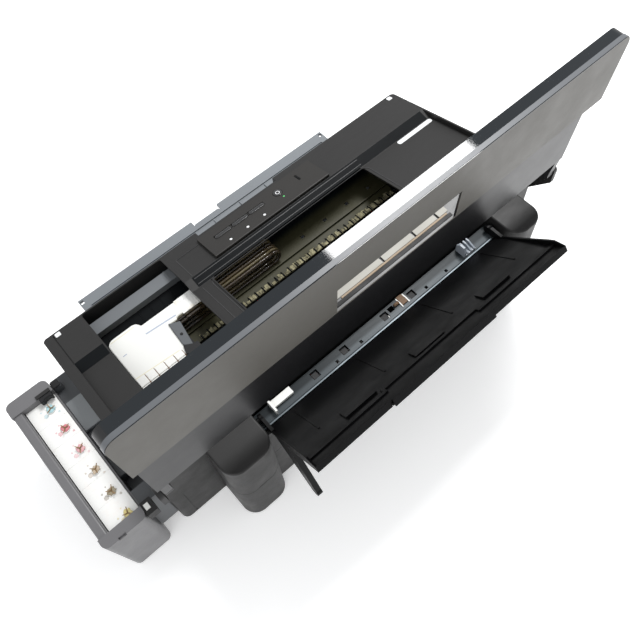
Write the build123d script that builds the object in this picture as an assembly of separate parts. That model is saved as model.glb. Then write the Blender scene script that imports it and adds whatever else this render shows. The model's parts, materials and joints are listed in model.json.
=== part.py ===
# Direct-to-film printer: a wide six-colour ink tank printer with its cover standing open.
# Millimetres. +Z is up, the front faces -Y, and the ink tank unit is on the +X side.
# Working frame: y = 0 is the front edge of the housing and z = 0 is the table.
from build123d import *
import os
from math import sin, cos, atan, degrees, radians, pi

os.makedirs("parts", exist_ok=True)

# Driving dimensions
gap = 0.4                      # clearance between pieces that move past each other
hinge_gap = 0.05               # radial running clearance of a pin in its bore
sides_s, sides_m, sides_l = 12, 16, 24           # sides of small round pieces that repeat

# Body. The top plane rises from front_z at the front edge to back_z at the rear one.
body_w, body_d = 616.0, 262.0
half_w = body_w / 2
foot_h, foot_r, foot_inset = 5.0, 9.0, 26.0
split_z = 98.0                 # joint between the lower case and the upper housing
front_z, slope = 133.0, 0.235
slope_deg = degrees(atan(slope))
back_z = front_z + slope * body_d
wall, skin = 3.0, 2.5          # lower case, upper housing
strip_d = 64.0                 # depth of the front strip that carries the panel
band_d = 16.0                  # sloping band behind the strip
recess = 8.0                   # how far the deck under the cover lies below the strip plane
side_strip = 14.0              # raised strip along the tank side
left_rim = 2.6                 # thin raised rim along the other side
notch_x0, notch_x1, notch_d = -71.0, 66.0, 8.0   # set-back of the front edge at the panel
pad_xs = (half_w - 20.0, -half_w + 12.0)         # pale pads at the front corners
label_w, label_d = 66.0, 8.0    # bare plate on the deck
label_y = strip_d + band_d + 5.5
inlet_x, inlet_w, inlet_z0, inlet_z1 = 24.0, 32.0, 34.0, 58.0    # mains inlet, from the side

# Steel frame and carriage. The carriage stands at its home end.
frame_back = 212.0             # front face of the frame's rear plate
frame_z, frame_t, frame_top = 60.0, 1.6, 138.0
rail_x = half_w - 19.0         # inner faces of the frame's side plates
tab_ys = (frame_back - 138.0, frame_back - 9.0)  # tabs that rest on the case
tab_l, tab_w = 12.0, 18.0
rod_y, rod_z, rod_r = frame_back - 40.0, 114.0, 5.0
car_w, car_home = 99.0, 39.0   # carriage width, and its distance from the side plate
car_x1 = rail_x - car_home
car_x0 = car_x1 - car_w
car_top, car_step = 130.0, 6.0                   # height of the lid, and of its rear step below it
car_front, car_back = rod_y - 115.0, rod_y + 11.0
lid_y, cell_y, cell_d = rod_y - 48.5, rod_y - 34.5, 12.5
joint_n, joint_pitch = 5, 13.2                   # small ink reservoirs on the carriage
head_y0, head_y1, head_z = rod_y - 48.0, rod_y - 12.0, 97.6
belt_y, belt_z, belt_w, belt_t = frame_back - 18.0, 121.0, 7.0, 1.2
pulley_x, pulley_r, pulley_bore = rail_x - 21.0, 8.0, 2.5
motor_r, motor_h = 15.0, 28.0
clip_x, clip_w = 39.0, 24.0                      # belt clip, from the carriage's left side

front_y, rail_low, rail_top = 12.5, 100.0, 120.0  # folded rail under the front strip

# Openings in the deck
deck_back = frame_back - 6.0   # rear edge of both openings
window_w, bridge_w = 124.0, 32.0                 # opening over the home place, and the bridge
window_x1 = car_x1 + 1.0
window_x0 = window_x1 - window_w
bay_x0, bay_x1, bay_y0 = -half_w + 138.0, window_x0 - bridge_w, strip_d + band_d - 2.0

# Rear feeder
box_top = back_z - 7.57        # top of the two end boxes
box_back, mid_back = body_d + 58.0, body_d + 38.0
rbox_x1 = half_w - 65.0
rbox_x0 = rbox_x1 - 63.0
lbox_x0 = -half_w + 50.0
lbox_x1 = lbox_x0 + 51.0
box_lap = 60.0                 # how far the boxes' outlines start inside the body
box_r, shell = 20.0, 2.5
slot_front = body_d + 3.0      # film slot between the wall and the feed plate
slot_plate = slot_front + 6.0
plate_z, plate_t = box_top - 21.4, 2.2           # top and thickness of the feed plate
plate_back = slot_plate + 21.6
shaft_y, shaft_z = slot_plate + 8.5, plate_z - 15.6
shaft_r, tyre_r, tyre_t, tyre_w = 4.0, 13.0, 4.0, 8.0
roller_xs = (92.0, 46.0, -20.0, -65.0)
pad_x, pad_w = -50.5, 8.2      # separator pad
film_x0, film_x1 = lbox_x1 + 17.0, rbox_x0 - 40.0

# Film path. All gears share one module.
film_z = 95.0                  # height of the film at the print head
roll_y, roll_z, roll_r, roll_axle = frame_back - 22.0, 86.0, 9.0, 6.0
eject_r, eject_axle, eject_n = 9.0, 4.0, 7
gear_m, gear_w, gear_x = 1.0, 5.5, -rail_x - 8.0
film_teeth, idler_teeth, eject_teeth, pinion_teeth = 36, 46, 28, 14
idler_axle = 3.0
plat_x0, plat_x1 = film_x0 - 10.0, film_x1 + 10.0
plat_y0, plat_y1 = roll_y - 68.5, roll_y - 20.0
ledge_w = 12.0                 # how far the platen's front ledge runs past its ribs
rib_n, rib_t = 30, 2.0         # fields between the platen's ribs, and a rib's thickness
slot_rise = 36.0               # height of the film's way through the rear walls
turn_n = 5                     # curved ribs that turn the film
cap_x0, cap_x1 = car_x0 + 17.0, car_x1 - 14.0
cap_h = 20.0

# Ink tubes: a lower run, a half turn and an upper run into the carriage
tube_d, tube_pitch, tube_n = 3.8, 4.3, 6
tube_y, tube_low, tube_bend, tube_x = rod_y - 91.0, 102.2, 11.9, 8.0
tube_end = car_x1 - 4.0        # where the tubes end inside the carriage
tube_high = tube_low + 2 * tube_bend
mouth_y, mouth_z = 16.0, 4.0   # half sizes of the passages that the tubes run through
tray_end = tube_y + 21.6       # rear edge of the tube tray and front edge of the exit bar

# Cover, drawn about its hinge and leaning back past upright
hinge_y, hinge_z = body_d + 21.0, back_z + 9.23
cover_lean = 2.4
cover_w, cover_low_w = body_w - 2.0, body_w - 8.0
cover_len = hinge_y - strip_d + 4.3              # hinge to free edge
cover_step = 135.0             # hinge to the step where the lower panel starts
cover_low = 30.0               # hinge to the lower edge of the lower panel
cover_in, cover_out, cover_mid = 2.0, 19.7, 8.7  # inner rim, outer skin, lower panel skin
cover_t, cover_r = 2.5, 14.0
cut_w, cut_h = 157.0, 43.0     # window in the outer skin
pin_r, ear_t, ear_r, arm_w = 4.0, 6.0, 8.5, 9.6

# Paper support
sup_y, sup_z, sup_angle = slot_plate + 18.0, plate_z - 0.6, 40.0
sup_x0, sup_x1 = lbox_x1 + 6.0, rbox_x0 - 5.0
sup_len, sup_t, sup_rim = 118.0, 3.0, 7.6
sup_pin_y, sup_pin_z, sup_pin_r, sup_boss = sup_y - 8.0, plate_z + 7.4, 3.0, 5.6
sup_lip = 6.5                  # how far up the slope the panel starts
ext_x0, ext_x1 = -81.6, 74.0   # channel of the sliding extension
ext_t = 3.2
stay_back, stay_drop, stay_r, stay_t = 80.0, 54.0, 6.5, 7.0      # arm under the tank-side end

# Control panel
panel_x0, panel_x1, panel_y0, panel_y1 = -124.0, 73.4, 16.0, 63.0
panel_h = 5.0
button_xs = (41.8, 13.0, -15.8)
button_l, button_w, button_y = 27.0, 6.0, 35.0
power_x, power_r = -54.0, 6.8
travel = 1.2                   # how far the buttons go down
key_h = 1.2                    # how far they sink into the panel at rest

# Output tray
tray_x0, tray_x1, tray_y0, tray_y1 = -half_w + 83.0, half_w - 67.0, -78.0, 112.0
tray_z, tray_t = 47.0, 5.0
tray_grooves = 8
rail_rib = 2.0                 # side guides of the tray

# Ink tank unit
tank_x0 = half_w + 24.0
tank_x1 = tank_x0 + 56.0
tank_y0, tank_y1 = 50.0, 272.0
tank_z, tank_t = 140.0, 2.2
cap_front, cap_back = 20.0, 15.0
rail_w, rail_h = 12.0, 9.4
manifold_x = tank_x0 + 8.6
tank_n, tank_pitch, tank_first = 6, 33.2, 35.8
fill_x, neck_z, plug_r, neck_r = tank_x0 + 15.0, 132.0, 3.4, 5.2


def top(y, off=0.0):
    """Height of the sloping top plane at depth y."""
    return front_z + slope * y + off


def tilt(x, y, off=0.0):
    """Place on the sloping top, off millimetres along its normal."""
    return Pos(x, y, top(y)) * Rot(slope_deg, 0, 0) * Pos(0, 0, off)


def block(x0, x1, y0, y1, z0, z1):
    return Pos((x0 + x1) / 2, (y0 + y1) / 2, (z0 + z1) / 2) * Box(x1 - x0, y1 - y0, z1 - z0)


def prism(points, x0, x1):
    """Outline of (y, z) points drawn out along X."""
    face = make_face(Plane.YZ.offset(x0) * Polyline(*points, close=True))
    return extrude(face, amount=x1 - x0, dir=(1, 0, 0))


def rod(y, z, r, x0, x1, sides=0):
    """Round bar along X. With sides it is a prism inside the circle, for pieces that repeat."""
    if sides:
        return Pos(x0, y, z) * Rot(0, 90, 0) * extrude(RegularPolygon(r, sides), amount=x1 - x0)
    return Pos((x0 + x1) / 2, y, z) * Rot(0, 90, 0) * Cylinder(r, x1 - x0)


def post(x, y, r, z0, z1, sides=0):
    """Upright round bar, or a prism inside the circle."""
    if sides:
        return extrude(Pos(x, y, z0) * RegularPolygon(r, sides), amount=z1 - z0)
    return Pos(x, y, (z0 + z1) / 2) * Cylinder(r, z1 - z0)


def rounded(x0, x1, y0, y1, r, z0, z1):
    """Upright block with rounded vertical corners."""
    plan = Pos((x0 + x1) / 2, (y0 + y1) / 2) * RectangleRounded(x1 - x0, y1 - y0, r)
    return extrude(Pos(0, 0, z0) * plan, amount=z1 - z0)


def on_hinge(u, v, y=hinge_y, z=hinge_z, angle=90 - cover_lean):
    """(y, z) of a point u along the open cover and v out from its hinge line."""
    a = radians(angle)
    return (y + u * cos(a) + v * sin(a), z + u * sin(a) - v * cos(a))


def on_support(s, n):
    """(y, z) of a point s along the open paper support and n up from its paper face."""
    a = radians(sup_angle)
    return (sup_y + s * cos(a) - n * sin(a), sup_z + s * sin(a) + n * cos(a))


def cover_prism(pts, x0, x1):
    return prism([on_hinge(u, v) for u, v in pts], x0, x1)


def gear_place():
    """Centres and radii of the film gear, idler, eject gear and pinion in the side view."""
    rf, re, rp = gear_m * film_teeth / 2, gear_m * eject_teeth / 2, gear_m * pinion_teeth / 2
    ri = gear_m * idler_teeth / 2
    yi = roll_y - rf - ri
    return {"film": (roll_y, roll_z, rf), "idler": (yi, roll_z, ri),
            "eject": (yi - ri - re, roll_z, re), "pinion": (yi, roll_z + ri + rp, rp)}


def support_prism(pts, x0, x1):
    return prism([on_support(s, n) for s, n in pts], x0, x1)


def bar(fn, a0, a1, b0, b1, x0, x1):
    """Straight bar with a rectangular section in a tilted frame."""
    return fn([(a0, b0), (a1, b0), (a1, b1), (a0, b1)], x0, x1)


# Housing
def footprint(inset, z0, z1):
    """Plan of the body with the two rounded feeder boxes and the wall between them."""
    i = inset
    start = body_d - box_lap
    body = rounded(-half_w + i, half_w - i, i, body_d - i, 9 - i / 2, z0, z1)
    right = rounded(rbox_x0 + i, rbox_x1 - i, start, box_back - i, box_r - i, z0, z1)
    left = rounded(lbox_x0 + i, lbox_x1 - i, start, box_back - i, box_r - i, z0, z1)
    mid = block(lbox_x1 - 10, rbox_x0 + 10, start, mid_back - i, z0, z1)
    return body + right + left + mid


def foot_places():
    """Centres of the four feet under the body."""
    x, y = half_w - foot_inset, body_d - foot_inset
    return [(-x, foot_inset), (-x, y), (x, foot_inset), (x, y)]


def tray_channels():
    """Ribs that carry the output tray and the two lipped channels that guide its edges."""
    floor, y1 = foot_h + wall, tray_y1 - 10
    over = tray_z + tray_t + gap
    step = (tray_x1 - tray_x0 - 116) / 3
    out = []
    for k in range(4):
        x = tray_x0 + 75 + k * step
        out.append(block(x - 1.2, x + 1.2, wall, y1, floor, tray_z - gap))
    for side, x in ((-1, tray_x0 - gap), (1, tray_x1 + gap)):
        channel = block(*sorted((x, x + side * rail_rib)), wall, y1, floor, over + rail_rib)
        channel += block(*sorted((x - side * 7, x)), wall + 6, y1, over, over + rail_rib)
        out.append(channel)
    return out


def film_turn_rib(x):
    """Curved rib that turns the film from the rear slot to the film roller."""
    y0, floor = frame_back + 3, foot_h + wall
    reach = slot_plate + 1 - y0
    curve = ((0, -2.2), (0.228, -0.5), (0.439, 3.5), (0.649, 11), (0.825, 23), (0.93, 39), (1, 39))
    points = [(y0, floor)] + [(y0 + reach * a, film_z + h) for a, h in curve] + [(y0 + reach, floor)]
    return prism(points, x - 1.2, x + 1.2)


def make_base_case():
    floor = foot_h + wall
    case = footprint(0, foot_h, split_z) - footprint(wall, floor, split_z + 1)
    case -= block(tray_x0 - 3, tray_x1 + 3, -1, wall + 1, tray_z - 6, tray_z + 41)
    for x, y in foot_places():
        case -= post(x, y, foot_r + 0.2, foot_h - 1, foot_h + 1.4, sides_m)
    for k in range(5):                          # cooling slots on the left side
        z = 24 + 6 * k
        case -= block(-half_w - 1, -half_w + wall + 1, 150, 230, z, z + 2.5)
    x = -half_w + inlet_x
    case -= block(x - inlet_w / 2, x + inlet_w / 2, body_d - wall - 1, body_d + 1, inlet_z0, inlet_z1)
    case -= block(rail_x, rail_x + 1, body_d - 0.8, body_d + 1, foot_h + 4, split_z - 6)   # moulding seam
    return case


def make_case_ribs():
    """Inner ribs on the case floor: tray channels, posts for the frame and the curved film ribs."""
    out = tray_channels()
    for x in (-rail_x - 8, rail_x + 8):
        for y in tab_ys:
            out.append(post(x, y, 3.5, foot_h + wall, frame_z, sides_s))
    span = film_x1 - film_x0 - 45
    for k in range(turn_n):
        out.append(film_turn_rib(film_x0 + 20 + k * span / (turn_n - 1)))
    return out


def make_upper_housing():
    half = half_w
    deck0 = strip_d + band_d
    outer = prism([(0, split_z), (0, top(0)), (strip_d, top(strip_d)), (deck0, top(deck0, -recess)),
                   (body_d, top(body_d, -recess)), (body_d, split_z)], -half, half)
    step = [(strip_d - 6, top(strip_d - 6)), (body_d, top(body_d)),
            (body_d, top(body_d, -recess - 4)), (strip_d - 6, top(strip_d - 6, -8))]
    outer += prism(step, half - side_strip, half)
    outer += prism(step, -half, -half + left_rim)
    uprights = outer.edges().filter_by(Axis.Z).filter_by(lambda e: abs(e.center().Y) < 1)
    outer = fillet(uprights, 6)
    high = back_z + 60
    outer -= block(notch_x0, notch_x1, -1, notch_d, split_z - 1, high)
    t = skin
    inner = prism([(t, split_z - 1), (t, top(t, -t)), (strip_d, top(strip_d, -t)),
                   (deck0, top(deck0, -recess - t)), (body_d - t, top(body_d - t, -recess - t)),
                   (body_d - t, split_z - 1)], -half + t, half - t)
    inner -= block(notch_x0 - t, notch_x1 + t, 0, notch_d + t, split_z - 2, high)
    house = outer - inner
    house -= rounded(window_x0, window_x1, t, deck_back, 3, split_z + 14, high)
    house -= rounded(bay_x0, bay_x1, bay_y0, deck_back, 8, split_z + 14, high)
    # lips that stiffen the edges of the bridge between the openings
    for x in (bay_x1, window_x0 - 2):
        house += prism([(deck0, top(deck0, -recess - 0.5)), (deck_back, top(deck_back, -recess - 0.5)),
                        (deck_back, top(deck_back, -recess + 1.4)), (deck0, top(deck0, -recess + 1.4))],
                       x, x + 2)
    # gutter beside the tank-side strip
    x = half - side_strip
    house -= prism([(4, top(4, -1.6)), (4, top(4, 3)), (strip_d, top(strip_d, 3)),
                    (strip_d, top(strip_d, -1.6))], x - 0.7, x + 0.7)
    # pockets for the two corner pads
    for px in pad_xs:
        house -= prism([(1.8, top(1.8, -1.0)), (10.3, top(10.3, -1.0)), (10.3, top(10.3, 3)),
                        (1.8, top(1.8, 3))], px - 4.3, px + 4.3)
    # ears that carry the cover's pins
    for side in (-1, 1):
        xa, xb = sorted((side * half, side * (half - ear_t)))
        ear = prism([(body_d - 12, 150), (body_d, 150), (hinge_y + ear_r, box_top - 1),
                     (hinge_y + ear_r, hinge_z), (hinge_y - ear_r, hinge_z), (hinge_y - 14, back_z + 1),
                     (body_d - 12, top(body_d - 12))], xa, xb)
        ear += rod(hinge_y, hinge_z, ear_r, xa, xb)
        ear -= rod(hinge_y, hinge_z, pin_r + hinge_gap, xa - 1, xb + 1)
        house += ear
    # slot under the rear edge, mouth for the film and passage for the ink tubes
    house -= block(half - 14, half + 9, body_d - 1.5, body_d + 1, 124, 131)
    house -= block(film_x0 - 4, film_x1 + 4, body_d - t - 1, body_d + 1, split_z - 1, film_z + slot_rise)
    house -= tube_mouth(half - t - 1, half + 1)
    return house


def tube_mouth(x0, x1):
    """Passage through a wall for the ribbon of ink tubes."""
    return block(x0, x1, tube_y - mouth_y, tube_y + mouth_y, tube_low - mouth_z, tube_low + mouth_z)


def make_rear_housing():
    """Upper half of the feeder: two rounded end boxes and the trough between them."""
    house = None
    start = body_d - box_lap
    for x0, x1 in ((rbox_x0, rbox_x1), (lbox_x0, lbox_x1)):
        solid = rounded(x0, x1, start, box_back, box_r, split_z, box_top)
        edge = solid.faces().sort_by(Axis.Z)[-1].edges()
        solid = fillet(edge, 2.4)
        solid -= rounded(x0 + shell, x1 - shell, start, box_back - shell, box_r - shell,
                         split_z - 1, box_top - shell)
        solid -= block(x0 - 1, x1 + 1, start - 1, body_d, split_z - 1, box_top + 1)
        solid += block(x0 + 1, x1 - 1, body_d, body_d + shell, split_z, box_top - 4)
        house = solid if house is None else house + solid
    house += block(lbox_x1 - 1, rbox_x0 + 1, body_d, slot_front, split_z, box_top - 4)
    house -= block(film_x0 - 4, film_x1 + 4, body_d - 1, slot_front + 1, split_z - 1, film_z + slot_rise)
    # back wall, whose top edge is the stop of the folded paper support
    stop_s = (mid_back - shell - sup_y - sup_t * sin(radians(sup_angle))) / cos(radians(sup_angle))
    stop_z = on_support(stop_s, -sup_t)[1] - 0.3
    house += block(lbox_x1 - 1, rbox_x0 + 1, mid_back - shell, mid_back, split_z, stop_z)
    # ledges under the feed plate
    for x0, x1 in ((rbox_x0 - 7, rbox_x0 + 1), (lbox_x1 - 1, lbox_x1 + 7)):
        house += block(x0, x1, slot_plate, mid_back, plate_z - 12, plate_z - plate_t)
    # bores for the pins of the paper support and for the feed shaft
    for x0, x1 in ((rbox_x0 - 8, rbox_x0 + shell + 2), (lbox_x1 - shell - 2, lbox_x1 + 8)):
        house -= rod(sup_pin_y, sup_pin_z, sup_pin_r + hinge_gap, x0, x1)
        house -= rod(shaft_y, shaft_z, shaft_r + hinge_gap, x0, x1)
    # parting groove round the boxes
    ring = footprint(-1, split_z + 3, split_z + 3.9) - footprint(0.7, split_z + 2, split_z + 5)
    house -= ring - block(-body_w, body_w, -50, body_d + 4, 0, box_top)
    return house


def make_inlays():
    """Pale pieces: two corner pads, the bare label plate on the deck and the panel's lamps."""
    out = [prism([(2.2, top(2.2, -0.95)), (9.9, top(9.9, -0.95)), (9.9, top(9.9, -0.1)),
                  (2.2, top(2.2, -0.1))], px - 3.9, px + 3.9) for px in pad_xs]
    x0 = -half_w + 6
    y0, y1 = label_y - label_d / 2, label_y + label_d / 2
    sheet = prism([(y0 - 1, top(y0 - 1, -recess)), (y1 + 1, top(y1 + 1, -recess)),
                   (y1 + 1, top(y1 + 1, 0.5 - recess)), (y0 - 1, top(y0 - 1, 0.5 - recess))],
                  x0 - 1, x0 + label_w + 1)
    out.append(rounded(x0, x0 + label_w, y0, y1, 3, split_z, back_z) & sheet)
    face = panel_h * cos(radians(slope_deg))
    out += [tilted_disc(x, y, r - 0.03, face - 0.78, face + 0.15, sides_m) for x, y, r in light_places()]
    return out


def make_feet():
    feet = [post(x, y, foot_r, 0, foot_h + 1.4, sides_m) for x, y in foot_places()]
    middle = (tank_x0 + tank_x1) / 2
    feet += [post(middle, y, foot_r, 0, foot_h, sides_m) for y in (tank_y0 + 30, tank_y1 - 38)]
    return feet


# Control panel
def panel_bar(x0, x1, y0, y1, low, high):
    return prism([(y0, top(y0, low)), (y1, top(y1, low)), (y1, top(y1, high)), (y0, top(y0, high))], x0, x1)


def make_control_panel():
    plate = panel_bar(panel_x0, panel_x1, panel_y0, panel_y1, 0.02, panel_h)
    plate = fillet(plate.edges().filter_by(Axis.X).sort_by(Axis.Z)[-1], 1.6)
    face = panel_h * cos(radians(slope_deg))
    low, high = face - key_h - travel - gap, face + 4
    for x in button_xs:
        plate -= tilt(x, button_y, low) * Pos(0, 0, (high - low) / 2) * Box(button_l + 2 * gap,
                                                                          button_w + 2 * gap, high - low)
    plate -= tilted_disc(power_x, button_y, power_r + gap, low, high)
    plate -= tilt(panel_x0 + 32.4, button_y - 2, face) * Box(4, 12, 2.4)
    for x, y, r in light_places():
        plate -= tilted_disc(x, y, r, face - 0.8, high, sides_m)
    return plate


def light_places():
    """Three status marks behind the buttons and the lamp beside the power button."""
    return [(x, button_y + 18.0, 2.2) for x in button_xs] + [(power_x - 1.5, button_y + 11.5, 1.6)]


def tilted_disc(x, y, r, low, high, sides=0):
    if sides:
        return tilt(x, y, low) * extrude(RegularPolygon(r, sides), amount=high - low)
    return tilt(x, y, (low + high) / 2) * Cylinder(r, high - low)


def make_button(x):
    low, high = panel_h * cos(radians(slope_deg)) - key_h, panel_h + 1.0
    key = tilt(x, button_y, (low + high) / 2) * Box(button_l, button_w, high - low)
    return fillet(key.faces().sort_by(Axis.Z)[-1].edges(), 0.7)


def make_power_button():
    face = panel_h * cos(radians(slope_deg))
    return tilted_disc(power_x, button_y, power_r, face - key_h, face + 0.9)


# Cover
def rounded_cover_outline(x_half, u0, u1, v0, v1, r):
    """Slab of the cover with its two free corners rounded."""
    slab = bar(cover_prism, u0, u1, v0, v1, -x_half, x_half)
    tips = []
    for e in slab.edges():
        c = e.center()
        yy, zz = on_hinge(u1, (v0 + v1) / 2)
        if abs(c.Y - yy) < 1 and abs(c.Z - zz) < 1 and abs(abs(c.X) - x_half) < 0.1:
            tips.append(e)
    return fillet(tips, r)


def make_cover():
    half, low_half = cover_w / 2, cover_low_w / 2
    t = cover_t
    body = rounded_cover_outline(half, cover_step, cover_len, cover_in, cover_out, cover_r)
    body -= rounded_cover_outline(half - t, cover_step + t, cover_len - t, cover_in - 5,
                                  cover_out - t, cover_r - t)
    # window in the outer skin over the step
    body -= bar(cover_prism, cover_step + t, cover_step + cut_h, cover_out - t - 1, cover_out + 1,
                -cut_w / 2, cut_w / 2)
    # ledge behind the window, in four lengths with dark gaps
    for x in (9.9, -32.6, -64.0):
        body -= bar(cover_prism, cover_step + t - 1.2, cover_step + t + 1, cover_in + 2, cover_out - 3,
                    x - 1, x + 1)
    # lower panel, set in from the main skin and narrower, with side flanges
    body += bar(cover_prism, cover_low, cover_step + 1, cover_mid - t, cover_mid, -low_half, low_half)
    for x in (-low_half, low_half - t):
        body += bar(cover_prism, cover_low, cover_step + 1, cover_in, cover_mid, x, x + t)
    body += bar(cover_prism, cover_low, cover_low + t, cover_in, cover_mid, -low_half, low_half)
    # stiffening ribs on the inner face
    for x in (-half + 57, -half + 137, half - 137, half - 57):
        body += bar(cover_prism, cover_low, cover_step + 1, cover_in + 1.5, cover_mid, x - 0.8, x + 0.8)
    for x in (-half + 77, -half / 2 + 38.5, half / 2 - 38.5, half - 77):
        body += bar(cover_prism, cover_step, cover_len, cover_in + 6, cover_out - 1, x - 0.8, x + 0.8)
    u = cover_len - 25
    body += bar(cover_prism, u, u + 1.6, cover_in + 6, cover_out - 1, -half + 1, half - 1)
    # arms down to the hinge, with pins that point outwards
    for side in (-1, 1):
        x0, x1 = sorted((side * (low_half - 3.4), side * (low_half - 3.4 - arm_w)))
        body += cover_prism([(cover_low + 20, cover_mid - 1), (cover_low + 20, cover_in), (0, -6.5),
                             (-6, -3), (-6, 5), (0, 6.5), (cover_low, cover_mid)], x0, x1)
        body += rod(hinge_y, hinge_z, 7.0, x0, x1)
        body += rod(hinge_y, hinge_z, pin_r, *sorted((side * (low_half - 4), side * (half_w - 0.5))))
    # seat for the edge bead
    body -= make_bead(0.0)
    return body


def make_bead(clear):
    """Bright bead along the outer edge of the free end, turning down both sides."""
    half = cover_w / 2
    v0, v1 = cover_out - 5.6, cover_out - 0.6
    outer = rounded_cover_outline(half + 0.5 - clear, cover_step + 40, cover_len + 0.5 - clear, v0 + clear,
                                  v1 - clear, cover_r)
    inner = rounded_cover_outline(half - 1.1 + clear, cover_step + 30, cover_len - 1.1 + clear, v0 - 2,
                                  v1 + 2, cover_r - 1.1)
    bead = outer - inner
    trim = bar(cover_prism, cover_step, cover_len - 15, v0 - 5, v1 + 5, -half - 5, half + 5)
    return bead - trim


# Paper support and feeder
def make_paper_support():
    x0, x1 = sup_x0, sup_x1
    s0, end = sup_lip, sup_len
    panel = bar(support_prism, s0, end, -sup_t, 0, x0, x1)
    # deep rim at the far edge and along both ends
    for xa in (x0, x1 - 2.4):
        panel += support_prism([(s0, -sup_t), (s0, 0), (s0 + 5, 1), (end - 22, 5.8), (end - 14, 5.8),
                                (end, 0), (end, -sup_rim), (end / 2, -sup_rim), (end / 4, -sup_t)],
                               xa, xa + 2.4)
    panel += bar(support_prism, end - 2.2, end, -sup_rim, 0, x0, x1)
    # raised border in front of the far edge, stepped in over the extension
    xa, xb = ext_x0 + 6.6, ext_x1 - 7
    panel += bar(support_prism, end - 18, end - 14, -1, 1.6, x0, xa)
    panel += bar(support_prism, end - 18, end - 14, -1, 1.6, xb, x1)
    panel += bar(support_prism, end - 24, end - 20, -1, 1.6, xa, xb)
    for x in (xa - 2, xb - 2):
        panel += bar(support_prism, end - 24, end - 14, -1, 1.6, x, x + 4)
    # three gripping pads, and long shallow ribs that guide the sheet
    for cx in (93.5, -8.0, -113.5):
        panel += bar(support_prism, end - 41, end - 26, -1, 2.4, cx - 21.5, cx + 21.5)
    for cx in (x0 + 36, x0 + 141, x1 - 130, x1 - 35):
        panel += bar(support_prism, 14, end - 46, -1, 0.9, cx - 1, cx + 1)
    # guides on the back for the extension, and the slot where it leaves
    for xa in (ext_x0 - 2.4, ext_x1):
        panel += bar(support_prism, 30, end - 1, -sup_rim, -1, xa, xa + 2.4)
    panel -= bar(support_prism, end - 4, end + 2, -sup_rim - 0.1, -sup_t, ext_x0, ext_x1)
    # cheeks from the panel to the pins
    for xa, xb in ((x0, x0 + 4), (x1 - 4, x1)):
        py, pz = sup_pin_y, sup_pin_z
        cheek = rod(py, pz, sup_boss, xa, xb)
        cheek += prism([(py - 3, pz + 4), (py, pz - sup_boss), on_support(s0, 0), on_support(20, -1),
                        on_support(20, 2.5), (py + 4, pz + 7)], xa, xb)
        panel += cheek
    panel += rod(sup_pin_y, sup_pin_z, sup_pin_r, lbox_x1 - shell + 0.2, x0 + 3)
    panel += rod(sup_pin_y, sup_pin_z, sup_pin_r, x1 - 3, rbox_x0 + shell - 0.2)
    return panel + support_stay()


def support_stay():
    """Arm with a round tip that hangs from the tank-side end of the paper support."""
    x0, x1 = sup_x1 - stay_t, sup_x1
    ty, tz = sup_y + stay_back, sup_z - stay_drop
    a = atan(stay_drop / stay_back)
    across = (stay_r * sin(a), stay_r * cos(a))
    arm = prism([on_support(24, -1), on_support(50, -1), (ty + across[0], tz + across[1]),
                 (ty - across[0], tz - across[1])], x0, x1)
    return arm + rod(ty, tz, stay_r, x0, x1)


def make_support_extension():
    x0, x1 = ext_x0 + gap, ext_x1 - gap
    face = -sup_t - gap
    plate = bar(support_prism, 34, sup_len + 1.2, face - ext_t, face, x0, x1)
    for k in range(4):
        x = ext_x0 + 26.6 + 35 * k
        plate -= bar(support_prism, 52, 96, face - ext_t / 2, -sup_t, x - 6, x + 6)
    plate += bar(support_prism, sup_len + 0.8, sup_len + 2.6, face - 5, 0.5, x0 + 2, x1 - 2)
    return plate


def make_feed_plate():
    """Bright plate over the feed rollers, with a raised rear edge and roller windows."""
    x0, x1 = lbox_x1 + 0.3, rbox_x0 - 0.3
    z, t, back = plate_z, plate_t, plate_back
    plate = prism([(slot_plate, z - t), (slot_plate, z), (back - 4, z), (back - 2, z + 2.4),
                   (back, z + 2.4), (back, z - t)], x0, x1)
    for x in roller_xs:
        plate -= block(x - 5.2, x + 5.2, shaft_y - 5, shaft_y + 5, z - 10, z + 9)
    plate -= block(-36, -28, slot_plate + 3, slot_plate + 10, z - 10, z + 9)
    plate -= block(pad_x - pad_w / 2 - 0.4, pad_x + pad_w / 2 + 0.4, slot_plate - 0.5, slot_plate + 13,
                   z - 10, z + 9)
    for x in (62, 24, -85, -120):
        plate -= block(x - 2, x + 2, slot_plate + 12, slot_plate + 16, z - 10, z + 9)
    return plate


def make_feed_shaft():
    shaft = rod(shaft_y, shaft_z, shaft_r, lbox_x1 - shell + 0.2, rbox_x0 + shell - 0.2)
    for x in roller_xs:
        shaft += rod(shaft_y, shaft_z, tyre_r - tyre_t, x - tyre_w / 2 - 0.4, x + tyre_w / 2 + 0.4, sides_l)
    return shaft


def make_feed_tyres():
    half = tyre_w / 2
    return [rod(shaft_y, shaft_z, tyre_r, x - half, x + half, sides_l)
            - rod(shaft_y, shaft_z, tyre_r - tyre_t, x - half - 1, x + half + 1, sides_l) for x in roller_xs]


def make_separator_pad():
    return block(pad_x - pad_w / 2, pad_x + pad_w / 2, slot_plate - 0.1, slot_plate + 12.6,
                 plate_z - 5, plate_z + 1.8)


def make_right_guide():
    x, y, z = rbox_x0 - 24, slot_plate + 0.4, plate_z
    return block(x - 31, x - 2.5, y, y + 9, z, z + 4.6) + block(x - 2.5, x, y, y + 15.6, z, z + 10)


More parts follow.
